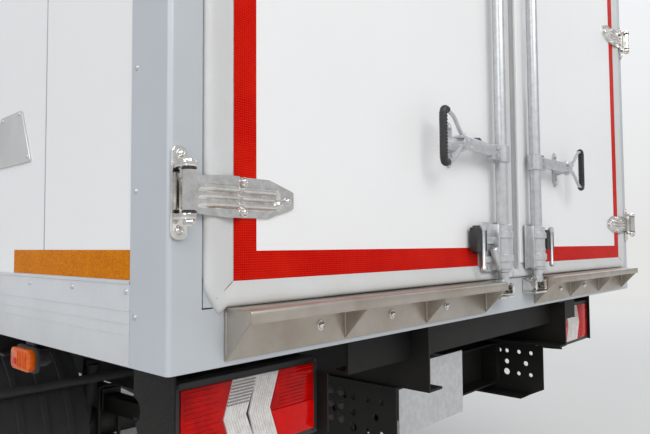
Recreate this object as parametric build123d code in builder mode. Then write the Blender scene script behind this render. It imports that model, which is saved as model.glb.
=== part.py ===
"""Refrigerated distribution truck: cab-over chassis, insulated box body, two rear doors.

Millimetres. X is across, with the truck's left at +X. The truck faces -Y and its doors are at +Y.
Z is up from the ground, and the origin lies on the ground under the middle of the truck.
"""

from build123d import *
import os
from math import asin, cos, degrees, radians, sin

os.makedirs("parts", exist_ok=True)

# Lengths along the truck
front_overhang = 1140.0
wheelbase = 3900.0
rear_overhang = 1680.0
bumper_reach = 70.0
cab_length = 1700.0
body_gap = 180.0
front = -(front_overhang + wheelbase + rear_overhang + bumper_reach) / 2
front_axle_y = front + front_overhang
rear_axle_y = front_axle_y + wheelbase
door_y = rear_axle_y + rear_overhang
cab_back_y = front + cab_length
body_front_y = cab_back_y + body_gap

# Tyres and rims
tyre_radius = 383.5
tyre_width = 211.0
bead_radius = 222.0
front_wheel_x = 870.0
twin_inner_x = 800.0
twin_spacing = 240.0
kingpin_x = 760.0
axle_z = tyre_radius

# Chassis rails and the sub-frame that carries the body
rail_web_x = 458.0
rail_height = 200.0
rail_flange = 66.0
rail_plate = 6.0
rail_bottom_z = 571.0
rail_top_z = rail_bottom_z + rail_height
rail_start_y = front + 320.0
rail_end_y = door_y - 95.0
sub_web_x = 445.0
sub_flange = 60.0
sub_height = 160.0
body_bottom_z = rail_top_z + sub_height

# Insulated body
half_width = 1175.0
skin_inset = 3.0
wall = 60.0
wall_outer_x = half_width - skin_inset
wall_inner_x = wall_outer_x - wall
side_rail_height = 141.0
ledge = 12.0
floor_top_z = body_bottom_z + side_rail_height - ledge
wall_bottom_z = body_bottom_z + side_rail_height
body_top_z = 3190.0
roof_thick = 80.0
roof_bottom_z = body_top_z - roof_thick
wall_top_z = roof_bottom_z - 10.0
corner_round = 8.0

# Rear doorway
tape_edge_x = half_width - 126.0
tape_bottom_z = 1070.0
tape_top_z = body_top_z - 150.0
gasket_edge_x = half_width - 65.0
gasket_drop = 38.0
gasket_depth = 32.0
gasket_proud = 10.0
post_depth = 112.0
rebate = 37.0
door_clear = 5.0
leaf_thick = 80.0
leaf_step = 30.0
sill_ledge_z = tape_bottom_z - gasket_drop - door_clear

# Rear door hinges and lock gear
hinge_x = half_width - 17.0
hinge_out = 29.0
hinge_y = door_y + hinge_out
hinge_low_up = 144.0
hinge_high_down = 192.0
hinge_first_z = tape_bottom_z + hinge_low_up
hinge_pitch = (tape_top_z - hinge_high_down - hinge_first_z) / 2
hinge_heights = [hinge_first_z + step * hinge_pitch for step in range(3)]
barrel_radius = 10.7
barrel_rise = (-34.5, 34.5)
ear_thick = 9.0
ear_levels = (-36.0 - ear_thick, 36.0)
bracket_rise = (-76.0, 70.0)
pin_radius = 6.0
pin_fit = 0.05
rod_x = 116.0
rod_radius = 17.0
rod_out = 33.0
handle_z = 1388.0
grip_x = 452.0
grip_out = 55.0

# Cab
cab_half = 1030.0
cab_wall = 55.0
cab_floor_z = 900.0
cab_bottom_z = 858.0
cab_top_z = 2290.0
belt_z = 1330.0
door_gap = 5.0
pivot_y = front + 250.0
pivot_z = 680.0
cab_hinge_x = cab_half + 10.0
cab_hinge_y = front + 237.0
cab_hinge_heights = (985.0, 1215.0)
cab_barrel = 9.0
cab_pin = 5.0

seat_gap = 0.3


def block(x, y, z, mode=Mode.ADD):
    """A box between the low and high value of each axis."""
    with Locations(((x[0] + x[1]) / 2, (y[0] + y[1]) / 2, (z[0] + z[1]) / 2)):
        Box(x[1] - x[0], y[1] - y[0], z[1] - z[0], mode=mode)


def side_prism(points, x_from, x_to, mode=Mode.ADD, rounding=0.0):
    """An outline of (y, z) points carried across the truck between two x values."""
    with BuildSketch(Plane.YZ.offset(x_from), mode=Mode.PRIVATE) as section:
        Polygon(*points, align=None)
        if rounding:
            fillet(section.vertices(), rounding)
    extrude(section.sketch, amount=x_to - x_from, mode=mode)


def rear_prism(points, y_from, y_to, mode=Mode.ADD, rounding=0.0):
    """An outline of (x, z) points carried along the truck between two y values."""
    with BuildSketch(Plane.XZ.offset(-y_from), mode=Mode.PRIVATE) as section:
        Polygon(*points, align=None)
        if rounding:
            fillet(section.vertices(), rounding)
    extrude(section.sketch, amount=y_from - y_to, mode=mode)


def top_prism(points, z_from, z_to, mode=Mode.ADD, rounding=0.0):
    """An outline of (x, y) points carried upwards between two z values."""
    with BuildSketch(Plane.XY.offset(z_from), mode=Mode.PRIVATE) as section:
        Polygon(*points, align=None)
        if rounding:
            fillet(section.vertices(), rounding)
    extrude(section.sketch, amount=z_to - z_from, mode=mode)


def bar(start, end, radius, mode=Mode.ADD):
    """A round bar between two points."""
    axis = Vector(*end) - Vector(*start)
    with BuildSketch(Plane(origin=start, z_dir=axis), mode=Mode.PRIVATE) as section:
        Circle(radius)
    extrude(section.sketch, amount=axis.length, mode=mode)


def spin(outlines, y_axis, z_axis):
    """Closed outlines of (x, radius) points, joined and turned about a cross axis of the truck."""
    turning = Plane(origin=(0, y_axis, z_axis), x_dir=(1, 0, 0), z_dir=(0, -1, 0))
    with BuildSketch(turning, mode=Mode.PRIVATE) as section:
        for outline in outlines:
            Polygon(*outline, align=None)
    line = Axis((0, y_axis, z_axis), (1, 0, 0))
    revolve(section.sketch, axis=line)


def moved(outline, x, side=1):
    """An outline of (x, radius) points, mirrored for side -1 and then moved across."""
    return [(x + side * point_x, radius) for point_x, radius in outline]


def save(piece, name):
    """Labels a finished piece and writes its STEP file."""
    piece.label = name
    export_step(piece, f"parts/{name}.step")


# Chassis frame
# Columns: distance ahead of the rail end, height above the rail bottom, diameter
rail_holes = [
    (167, 156, 15), (138, 156, 15), (91, 156, 15), (45, 156, 15),
    (204, 116, 18), (139, 116, 18), (65, 116, 18),
    (140, 78, 24), (93, 76, 15), (47, 76, 15),
]
# Columns: place along the truck, height of the member
cross_members = [
    (front + 360, 120), (front + 2200, 90), (front + 3000, 120), (rear_axle_y - 700, 120),
    (rear_axle_y + 560, 140), (door_y - 330, 150),
]
rail_chamfer = 60.0
cross_depth = 70.0
member_top_z = rail_top_z - rail_plate - 8

with BuildPart() as chassis_frame:
    rail_side = [
        (rail_start_y, rail_bottom_z + rail_chamfer), (rail_start_y + rail_chamfer, rail_bottom_z),
        (rail_end_y - rail_chamfer, rail_bottom_z), (rail_end_y, rail_bottom_z + rail_chamfer / 2),
        (rail_end_y, rail_top_z), (rail_start_y, rail_top_z),
    ]
    side_prism(rail_side, rail_web_x - rail_flange, rail_web_x)
    block(
        (rail_web_x - rail_flange, rail_web_x - rail_plate), (rail_start_y - 1, rail_end_y + 1),
        (rail_bottom_z + rail_plate, rail_top_z - rail_plate), mode=Mode.SUBTRACT,
    )
    for ahead, above, across in rail_holes:
        hole_y = rail_end_y - ahead
        hole_z = rail_bottom_z + above
        bar((rail_web_x - 10, hole_y, hole_z), (rail_web_x + 1, hole_y, hole_z), across / 2,
            mode=Mode.SUBTRACT)
    mirror(about=Plane.YZ)
    for member_y, member_height in cross_members:
        top = member_top_z
        inner = rail_web_x - rail_plate
        block((-inner, inner), (member_y, member_y + cross_depth), (top - member_height, top))
        block((-inner + 30, inner - 30), (member_y + rail_plate, member_y + cross_depth + 1),
              (top - member_height + rail_plate, top - rail_plate), mode=Mode.SUBTRACT)
save(chassis_frame.part, "chassis_frame")

# Sub-frame
rear_beam_z = body_bottom_z - 85.0
rear_beam_y = (door_y - 110, door_y - 60)
rear_beam_x = half_width - 492.0
with BuildPart() as sub_frame:
    sub_y = (body_front_y + 20, door_y - 6)
    block((sub_web_x - sub_flange, sub_web_x), sub_y, (rail_top_z, body_bottom_z))
    block((sub_web_x - sub_flange - 1, sub_web_x - rail_plate), (sub_y[0] - 1, sub_y[1] + 1),
          (rail_top_z + rail_plate, body_bottom_z - rail_plate), mode=Mode.SUBTRACT)
    mirror(about=Plane.YZ)
    block((-rear_beam_x, rear_beam_x), rear_beam_y, (rear_beam_z, body_bottom_z))
    block((-rear_beam_x - 1, rear_beam_x + 1), (rear_beam_y[0] - 1, rear_beam_y[1] - rail_plate),
          (rear_beam_z + rail_plate, body_bottom_z - rail_plate), mode=Mode.SUBTRACT)
    for along in (0.12, 0.37, 0.62, 0.84):
        bearer_y = sub_y[0] + along * (sub_y[1] - sub_y[0])
        block((-half_width + 25, half_width - 25), (bearer_y, bearer_y + 50),
              (body_bottom_z - 60, body_bottom_z))
        block((-half_width, half_width), (bearer_y + rail_plate, bearer_y + 51),
              (body_bottom_z - 54, body_bottom_z - rail_plate), mode=Mode.SUBTRACT)
save(sub_frame.part, "sub_frame")

# Axles
beam_drop = 62.0
beam_height = 84.0
beam_width = 72.0
eye_radius = 38.0
eye_height = 96.0
pin_z = axle_z
spring_x = rail_web_x - rail_flange / 2
king_radius = 16.0
beam_z = axle_z - beam_drop
with BuildPart() as front_axle:
    beam_outline = [
        (0, beam_z - beam_height / 2), (560, beam_z - beam_height / 2),
        (kingpin_x - 20, pin_z - 40), (kingpin_x - 20, pin_z + 38),
        (540, beam_z + beam_height / 2), (0, beam_z + beam_height / 2),
    ]
    rear_prism(beam_outline, front_axle_y - beam_width / 2, front_axle_y + beam_width / 2)
    for sign in (-1, 1):
        groove_y = sorted((front_axle_y + sign * 12, front_axle_y + sign * (beam_width / 2 + 1)))
        block((60, 520), groove_y, (beam_z - 26, beam_z + 26), mode=Mode.SUBTRACT)
    bar((kingpin_x, front_axle_y, pin_z - eye_height / 2), (kingpin_x, front_axle_y, pin_z + eye_height / 2),
        eye_radius)
    bar((kingpin_x, front_axle_y, pin_z - eye_height), (kingpin_x, front_axle_y, pin_z + eye_height),
        king_radius + pin_fit, mode=Mode.SUBTRACT)
    mirror(about=Plane.YZ)
save(front_axle.part, "front_axle")

drum_x = 700.0
banjo = [(0, 0), (0, 178), (70, 172), (150, 120), (240, 66), (660, 58), (660, 84), (drum_x, 84), (drum_x, 0)]
pinion_y = rear_axle_y - 300.0
with BuildPart() as rear_axle:
    spin([banjo], rear_axle_y, axle_z)
    mirror(about=Plane.YZ)
    with BuildSketch(Plane.XZ.offset(-(pinion_y)), mode=Mode.PRIVATE) as nose:
        with Locations((0, axle_z)):
            Circle(60)
    with BuildSketch(Plane.XZ.offset(-(rear_axle_y - 60)), mode=Mode.PRIVATE) as root:
        with Locations((0, axle_z)):
            Circle(130)
    loft([nose.sketch.face(), root.sketch.face()])
save(rear_axle.part, "rear_axle")

# Leaf springs, their hangers, shackles and dampers
spring_width = 64.0
leaf_height = 13.0
leaf_shorter = 0.135
eye_out = 24.0
hanger_half = 44.0
hanger_plate = 10.0
# Columns: axle place, half length, height of the pack's underside, leaves, clamp half length, drop of the eye
spring_table = [
    (front_axle_y, 700.0, beam_z + beam_height / 2, 4, 70.0, 62.0),
    (rear_axle_y, 720.0, axle_z + 63.5, 5, 90.0, 38.0),
]
with BuildPart() as leaf_springs:
    for spring_y, half_length, pack_z, leaves, clamp, eye_drop in spring_table:
        eye_z = rail_bottom_z - eye_drop
        pack_top = pack_z + leaves * leaf_height
        rise = eye_z - pack_top + leaf_height / 2
        main_radius = (half_length ** 2 + rise ** 2) / (2 * rise)
        outer_radius = main_radius + (leaves - 0.5) * leaf_height
        with BuildSketch(Plane.YZ.offset(spring_x - spring_width / 2), mode=Mode.PRIVATE) as pack:
            for leaf in range(leaves):
                reach = half_length * (1 - leaf_shorter * (leaves - 1 - leaf))
                low_radius = outer_radius - leaf * leaf_height
                half_angle = degrees(asin(reach / low_radius))
                with BuildLine():
                    lower = CenterArc((spring_y, pack_z + outer_radius), low_radius,
                                      270 - half_angle, 2 * half_angle)
                    upper = CenterArc((spring_y, pack_z + outer_radius), low_radius - leaf_height,
                                      270 - half_angle, 2 * half_angle)
                    Line(lower @ 0, upper @ 0)
                    Line(lower @ 1, upper @ 1)
                make_face()
        extrude(pack.sketch, amount=spring_width)
        block((spring_x - 38, spring_x + 38), (spring_y - clamp, spring_y + clamp),
              (pack_z, pack_top + 22))
        for end in (-1, 1):
            eye_y = spring_y + end * half_length
            bar((spring_x - 36, eye_y, eye_z), (spring_x + 36, eye_y, eye_z), eye_out)
            hanger = [(eye_y - 34, rail_bottom_z), (eye_y + 34, rail_bottom_z),
                      (eye_y + 20, eye_z - 16), (eye_y - 20, eye_z - 16)]
            side_prism(hanger, spring_x - hanger_half, spring_x - hanger_half + hanger_plate)
            side_prism(hanger, spring_x + hanger_half - hanger_plate, spring_x + hanger_half)
            block((spring_x - hanger_half, spring_x + hanger_half), (eye_y - 34, eye_y + 34),
                  (rail_bottom_z - 8, rail_bottom_z))
    mirror(about=Plane.YZ)
save(leaf_springs.part, "leaf_springs")

damper_x = 558.0
# Columns: foot (x, y, z), head (x, y, z)
damper_table = [
    ((500, front_axle_y + 92, beam_z - 4), (508, front_axle_y + 250, rail_top_z - 60)),
    ((damper_x, rear_axle_y + 96, axle_z - 40), (damper_x, rear_axle_y + 190, rail_top_z - 96)),
]
with BuildPart() as dampers:
    for foot, head in damper_table:
        middle = tuple(foot[i] + 0.52 * (head[i] - foot[i]) for i in range(3))
        bar(foot, middle, 26)
        bar(middle, head, 32)
        bar((rail_web_x, head[1], head[2]), (head[0] + 30, head[1], head[2]), 17)
    front_foot = damper_table[0][0]
    rear_foot = damper_table[1][0]
    block((front_foot[0] - 20, front_foot[0] + 20), (front_axle_y + beam_width / 2, front_foot[1] + 14),
          (front_foot[2] - 26, front_foot[2]))
    block((rear_foot[0] - 20, rear_foot[0] + 20), (rear_axle_y + 59, rear_foot[1] + 22),
          (rear_foot[2] - 26, rear_foot[2]))
    mirror(about=Plane.YZ)
save(dampers.part, "dampers")

# Engine, gearbox and propeller shaft
engine_y = (front + 520, front + 1440)
engine_z = (470.0, 965.0)
engine_half = 320.0
gearbox_end_y = engine_y[1] + 620
shaft_z = 620.0
shaft_radius = 48.0
with BuildPart() as drive_line:
    block((-engine_half, engine_half), engine_y, engine_z)
    gearbox = [(engine_y[1], 500), (engine_y[1], 800), (engine_y[1] + 160, 760),
               (gearbox_end_y, shaft_z + 70), (gearbox_end_y, shaft_z - 70), (engine_y[1] + 160, 520)]
    side_prism(gearbox, -190, 190)
    bar((0, gearbox_end_y, shaft_z), (0, pinion_y - 50, axle_z + 2), shaft_radius)
    bar((0, gearbox_end_y - 10, shaft_z), (0, gearbox_end_y + 90, shaft_z - 12), 66)
    bar((0, pinion_y - 70, axle_z), (0, pinion_y, axle_z), 58)
save(drive_line.part, "drive_line")

# Silencer and tail pipe on the right
silencer_x = (-930.0, -520.0)
silencer_y = (body_front_y + 40, body_front_y + 640)
silencer_z = (385.0, 700.0)
silencer_round = 70.0
pipe_radius = 38.0
pipe_z = 412.0


def outline_box(x, z, grow=0.0):
    """The four (x, z) corners between two low and high values, grown all round."""
    return [(x[0] - grow, z[0] - grow), (x[1] + grow, z[0] - grow), (x[1] + grow, z[1] + grow),
            (x[0] - grow, z[1] + grow)]


with BuildPart() as exhaust:
    rear_prism(outline_box(silencer_x, silencer_z), *silencer_y, rounding=silencer_round)
    inlet_y = silencer_y[0] - 150
    bar((-600, inlet_y - pipe_radius, pipe_z + 20), (-600, silencer_y[0] + 10, pipe_z + 20), pipe_radius)
    bar((-600, inlet_y, pipe_z), (-300, inlet_y, pipe_z), pipe_radius)
    bar((-910, silencer_y[1] - 120, 520), (-1060, silencer_y[1] - 120, 480), pipe_radius)
    for strap_y in (silencer_y[0] + 130, silencer_y[1] - 180):
        rear_prism(outline_box(silencer_x, silencer_z, 4), strap_y, strap_y + 40, rounding=silencer_round + 4)
        block((silencer_x[1] - 10, -rail_web_x), (strap_y, strap_y + 40), (590, 640))
save(exhaust.part, "exhaust")

# Fuel tank on the left
tank_x = (540.0, half_width - 95.0)
tank_y = (body_front_y + 60, body_front_y + 1000)
tank_z = (400.0, 860.0)
tank_round = 90.0
with BuildPart() as fuel_tank:
    rear_prism(outline_box(tank_x, tank_z), *tank_y, rounding=tank_round)
    for strap_y in (tank_y[0] + 120, tank_y[1] - 180):
        rear_prism(outline_box(tank_x, tank_z, 5), strap_y, strap_y + 60, rounding=tank_round + 5)
        block((rail_web_x, tank_x[0] + 10), (strap_y, strap_y + 60), (tank_z[0] + 180, rail_top_z - 20))
    cap_x = tank_x[1] - 100
    bar((cap_x, tank_y[0] + 330, tank_z[1] - 20), (cap_x + 30, tank_y[0] + 330, tank_z[1] + 30), 45)
save(fuel_tank.part, "fuel_tank")

# Battery box on the right
battery_y = (silencer_y[1] + 120, silencer_y[1] + 520)
battery_x = half_width - 105.0
with BuildPart() as battery_box:
    block((-battery_x, -560), battery_y, (450, 790))
    fillet(battery_box.edges().filter_by(Axis.Y), 22)
    block((-battery_x - 4, -690), (battery_y[0] - 4, battery_y[1] + 4), (640, 794))
    for arm_y in (battery_y[0] + 90, battery_y[1] - 140):
        block((-570, -rail_web_x), (arm_y, arm_y + 50), (600, 740))
save(battery_box.part, "battery_box")

# Mudguards: a ring section about the axle between two angles from the rear level
guard_radius = tyre_radius + 72.0
guard_wall = 5.0
guard_x = half_width - 23.0
# Columns: axle place, from angle, to angle, inner x, outer x, inner radius
guard_table = [
    (rear_axle_y, -8.0, 78.0, 690.0, guard_x, guard_radius),
    (rear_axle_y, 102.0, 188.0, 690.0, guard_x, guard_radius),
    (front_axle_y, -6.0, 46.0, 690.0, 1010.0, guard_radius + 26.0),
]
with BuildPart() as mudguards:
    for guard_y, angle_from, angle_to, x_from, x_to, radius in guard_table:
        with BuildSketch(Plane.YZ.offset(x_from), mode=Mode.PRIVATE) as strip:
            with BuildLine():
                inner_arc = CenterArc((guard_y, axle_z), radius, angle_from, angle_to - angle_from)
                outer_arc = CenterArc((guard_y, axle_z), radius + guard_wall, angle_from,
                                      angle_to - angle_from)
                Line(inner_arc @ 0, outer_arc @ 0)
                Line(inner_arc @ 1, outer_arc @ 1)
            make_face()
        extrude(strip.sketch, amount=x_to - x_from)
        with BuildSketch(Plane.YZ.offset(x_to - guard_wall), mode=Mode.PRIVATE) as lip:
            with BuildLine():
                lip_in = CenterArc((guard_y, axle_z), radius - 22, angle_from, angle_to - angle_from)
                lip_out = CenterArc((guard_y, axle_z), radius + 1, angle_from, angle_to - angle_from)
                Line(lip_in @ 0, lip_out @ 0)
                Line(lip_in @ 1, lip_out @ 1)
            make_face()
        extrude(lip.sketch, amount=guard_wall)
        stay_angle = radians((angle_from + angle_to) / 2)
        stay_y = guard_y + (radius + guard_wall + 14) * cos(stay_angle)
        stay_z = axle_z + (radius + guard_wall + 14) * sin(stay_angle)
        bar((rail_web_x, stay_y, stay_z), (x_to - 60, stay_y, stay_z), 16)
    mirror(about=Plane.YZ)
save(mudguards.part, "mudguards")

# Side guards between the axles
guard_rail_y = (max(tank_y[1], battery_y[1]) + 70, rear_axle_y - 600)
guard_rail_x = (half_width - 57.0, half_width - 29.0)
with BuildPart() as side_guards:
    for rail_z in (430.0, 700.0):
        block(guard_rail_x, guard_rail_y, (rail_z, rail_z + 110))
    for along in (0.14, 0.86):
        post_y = guard_rail_y[0] + along * (guard_rail_y[1] - guard_rail_y[0])
        block((guard_rail_x[0] - 40, guard_rail_x[0]), (post_y, post_y + 50), (440, 830))
        block((rail_web_x, guard_rail_x[0] - 40), (post_y, post_y + 50), (700, 750))
    mirror(about=Plane.YZ)
save(side_guards.part, "side_guards")

# Tail lamps on sheet boxes under the rear corners
lamp_y = door_y - 143.0
lamp_outer_x = half_width - 110.0
lamp_inner_x = lamp_outer_x - 374.0
lamp_z = (709.0, 879.0)
lens_inner_x = lamp_inner_x + 17.0
lens_outer_x = lamp_outer_x - 9.0
lens_z = (723.0, 866.0)
lamp_depth = 62.0
sheet = 4.0
with BuildPart() as tail_lamp_boxes:
    block((lamp_inner_x, lamp_outer_x), (lamp_y - lamp_depth, lamp_y - 12), lamp_z)
    fillet(tail_lamp_boxes.edges().filter_by(Axis.Y), 10)
    block((lens_inner_x, lens_outer_x), (lamp_y - 26, lamp_y), lens_z, mode=Mode.SUBTRACT)
    outer_plate = [
        (lamp_y + 9, body_bottom_z), (lamp_y - 128, body_bottom_z), (lamp_y - 128, lamp_z[0] + 100),
        (lamp_y - 90, lamp_z[0]), (lamp_y + 9, lamp_z[0]),
    ]
    side_prism(outer_plate, lamp_outer_x + 6, lamp_outer_x + 6 + sheet)
    bar((lamp_outer_x, lamp_y - 128, 814), (lamp_outer_x + 12, lamp_y - 128, 814), 24,
        mode=Mode.SUBTRACT)
    inner_plate = [
        (lamp_y + 28, body_bottom_z - 88), (lamp_y - 100, body_bottom_z - 88),
        (lamp_y - 100, lamp_z[0]), (lamp_y + 28, lamp_z[0] + 4),
    ]
    side_prism(inner_plate, lamp_inner_x - sheet, lamp_inner_x)
    back_x = (lamp_inner_x - sheet, lamp_outer_x + 6 + sheet)
    block(back_x, (lamp_y - lamp_depth - sheet, lamp_y - lamp_depth), (lamp_z[0], body_bottom_z))
    mirror(about=Plane.YZ)
save(tail_lamp_boxes.part, "tail_lamp_boxes")

# Columns: x at the lens's upper and lower edge, x at the arrow's tip, both from the lens's inner end
arrow_table = [(104, 129), (165, 194), (229, 253)]
groove = 3.0
lens_middle_z = (lens_z[0] + lens_z[1]) / 2
with BuildPart() as tail_lamp_lenses:
    block((lens_inner_x + seat_gap, lens_outer_x - seat_gap), (lamp_y - 26 + seat_gap, lamp_y),
          (lens_z[0] + seat_gap, lens_z[1] - seat_gap))
    fillet(tail_lamp_lenses.faces().sort_by(Axis.Y)[-1].edges(), 5)
    for edge_in, tip_in in arrow_table:
        edge_x = lens_inner_x + edge_in
        tip_x = lens_inner_x + tip_in
        arrow = [(edge_x, lens_z[1]), (edge_x + groove, lens_z[1]), (tip_x + groove, lens_middle_z),
                 (edge_x + groove, lens_z[0]), (edge_x, lens_z[0]), (tip_x, lens_middle_z)]
        rear_prism(arrow, lamp_y - 2, lamp_y + 1, mode=Mode.SUBTRACT)
    mirror(about=Plane.YZ)
save(tail_lamp_lenses.part, "tail_lamp_lenses")

# Amber side lamps hung under the side rail
marker_x = half_width - 10.0
marker_z = (859.0, 907.0)
marker_pitch = 1450.0
with BuildPart() as side_markers:
    for count in range(3):
        marker_y = door_y - 650 - count * marker_pitch
        block((marker_x - 22, marker_x), (marker_y, marker_y + 107), marker_z)
        block((marker_x - 30, marker_x - 22), (marker_y + 20, marker_y + 87),
              (marker_z[0] + 6, body_bottom_z))
    mirror(about=Plane.YZ)
save(side_markers.part, "side_markers")

# Blank plate carrier between the rails
carrier_y = door_y - 150.0
with BuildPart() as plate_carrier:
    block((36, 372), (carrier_y, carrier_y + 3), (618, 803))
    for arm_x in (60, 310):
        block((arm_x, arm_x + 30), (door_y - 310, carrier_y), (member_top_z, member_top_z + 30))
save(plate_carrier.part, "plate_carrier")

# Front bumper, its beam and the cab pivot brackets
bumper_z = (335.0, 575.0)
bumper_half = cab_half - 8.0
bumper_wall = 6.0
pivot_radius = 18.0
pivot_end_x = rail_web_x + 36.0
fog_lamp_x = 730.0
fog_lamp_z = 440.0
fog_lamp_radius = 46.0
with BuildPart() as front_bumper:
    plan = [(-bumper_half, front + 106), (-bumper_half, front + 60), (-bumper_half + 120, front),
            (bumper_half - 120, front), (bumper_half, front + 60), (bumper_half, front + 106)]
    top_prism(plan, *bumper_z)
    fillet(front_bumper.edges().filter_by(Axis.Z).sort_by(Axis.Y)[:2], 90)
    inner_plan = [(x * (bumper_half - bumper_wall) / bumper_half, y + bumper_wall) for x, y in plan]
    top_prism(inner_plan, bumper_z[0] + bumper_wall, bumper_z[1] - bumper_wall, mode=Mode.SUBTRACT)
    open_plan = [(-bumper_half + 10, front + 120), (-bumper_half + 10, front + 72),
                 (-bumper_half + 142, front + 34), (bumper_half - 142, front + 34),
                 (bumper_half - 10, front + 72), (bumper_half - 10, front + 120)]
    top_prism(open_plan, bumper_z[0] - 1, bumper_z[1] + 1, mode=Mode.SUBTRACT)
    block((-560, 560), (front + bumper_wall - 1, front + 30), (390, 500))
    tow_x = -(rail_web_x - 35)
    bar((tow_x, front + 60, 442), (tow_x, front - 1, 442), 34, mode=Mode.SUBTRACT)
    bar((tow_x, front + 90, 442), (tow_x, front + 8, 442), 27)
    block((-420, 420), (front - 1, front + bumper_wall + 1), (510, 550), mode=Mode.SUBTRACT)
    for fog_x in (-fog_lamp_x, fog_lamp_x):
        bar((fog_x, front - 1, fog_lamp_z), (fog_x, front + 4, fog_lamp_z), fog_lamp_radius,
            mode=Mode.SUBTRACT)
        bar((fog_x, front + 4, fog_lamp_z), (fog_x, front + 45, fog_lamp_z), fog_lamp_radius + 6)
    for side in (-1, 1):
        arm_x = sorted((side * (rail_web_x - 60), side * rail_web_x))
        block(arm_x, (front + 20, rail_start_y + 40), (415, 470))
        arm_up = [(front + 214, 440), (rail_start_y + 40, 440), (rail_start_y + 40, rail_bottom_z),
                  (rail_start_y, rail_bottom_z + rail_chamfer), (rail_start_y, 720),
                  (pivot_y + 30, pivot_z + 40), (pivot_y - 34, pivot_z + 30), (pivot_y - 34, pivot_z - 30)]
        side_prism(arm_up, arm_x[0], arm_x[1])
    bar((-pivot_end_x, pivot_y, pivot_z), (pivot_end_x, pivot_y, pivot_z), pivot_radius)
    bar((tow_x, front + 7, 442), (tow_x, front + 68, 442), 15, mode=Mode.SUBTRACT)
save(front_bumper.part, "front_bumper")

# Body floor, walls and roof
with BuildPart() as body_floor:
    block((-wall_inner_x, wall_inner_x), (body_front_y + 62, door_y - post_depth),
          (body_bottom_z, floor_top_z))
save(body_floor.part, "body_floor")

for side, side_name in ((1, "left"), (-1, "right")):
    with BuildPart() as side_wall:
        block(sorted((side * wall_inner_x, side * wall_outer_x)),
              (body_front_y + 62, door_y - post_depth), (wall_bottom_z, wall_top_z))
    save(side_wall.part, f"side_wall_{side_name}")

with BuildPart() as front_wall:
    block((-wall_inner_x, wall_inner_x), (body_front_y, body_front_y + 60), (body_bottom_z, wall_top_z))
save(front_wall.part, "front_wall")

roof_edge_x = half_width - 45.0
with BuildPart() as roof:
    block((-roof_edge_x, roof_edge_x), (body_front_y + 62, door_y - post_depth), (roof_bottom_z, body_top_z))
save(roof.part, "roof")

# Aluminium mouldings: lower rails, roof rails, front posts and front header
with BuildPart() as body_mouldings:
    block((wall_inner_x, half_width), (body_front_y + 62, door_y - post_depth),
          (body_bottom_z, wall_bottom_z))
    roof_rail = [
        (wall_inner_x, wall_top_z), (half_width, wall_top_z), (half_width, body_top_z - 30),
        (half_width - 30, body_top_z), (roof_edge_x, body_top_z), (roof_edge_x, roof_bottom_z),
        (wall_inner_x, roof_bottom_z),
    ]
    rear_prism(roof_rail, body_front_y + 62, door_y - post_depth)
    front_post = [
        (wall_inner_x, body_front_y), (half_width - 40, body_front_y), (half_width, body_front_y + 40),
        (half_width, body_front_y + 62), (wall_inner_x, body_front_y + 62),
    ]
    top_prism(front_post, body_bottom_z, body_top_z - 30)
    mirror(about=Plane.YZ)
    header = [
        (body_front_y, wall_top_z), (body_front_y + 62, wall_top_z), (body_front_y + 62, body_top_z),
        (body_front_y + 30, body_top_z), (body_front_y, body_top_z - 30),
    ]
    side_prism(header, -wall_inner_x, wall_inner_x)
save(body_mouldings.part, "body_mouldings")

# Rear portal: two posts with a rebate for the gasket, the sill and the header
header_ledge_z = tape_top_z + gasket_drop + door_clear
post_inner_x = gasket_edge_x + 3.0
with BuildPart() as rear_portal:
    with BuildSketch(Plane.XY.offset(body_bottom_z), mode=Mode.PRIVATE) as post:
        with BuildLine():
            Polyline(
                (half_width, door_y - corner_round), (half_width, door_y - post_depth),
                (tape_edge_x, door_y - post_depth), (tape_edge_x, door_y - rebate),
                (post_inner_x, door_y - rebate), (post_inner_x, door_y),
                (half_width - corner_round, door_y),
            )
            RadiusArc((half_width - corner_round, door_y), (half_width, door_y - corner_round), corner_round)
        make_face()
    extrude(post.sketch, amount=body_top_z - body_bottom_z)
    mirror(about=Plane.YZ)
    sill = [
        (door_y - post_depth, body_bottom_z), (door_y, body_bottom_z),
        (door_y, sill_ledge_z), (door_y - rebate, sill_ledge_z),
        (door_y - rebate, tape_bottom_z - door_clear), (door_y - post_depth, tape_bottom_z - door_clear),
    ]
    side_prism(sill, -post_inner_x, post_inner_x)
    top_header = [
        (door_y - post_depth, tape_top_z + door_clear), (door_y - rebate, tape_top_z + door_clear),
        (door_y - rebate, header_ledge_z), (door_y, header_ledge_z), (door_y, body_top_z),
        (door_y - post_depth, body_top_z),
    ]
    side_prism(top_header, -post_inner_x, post_inner_x)
save(rear_portal.part, "rear_portal")

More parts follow.
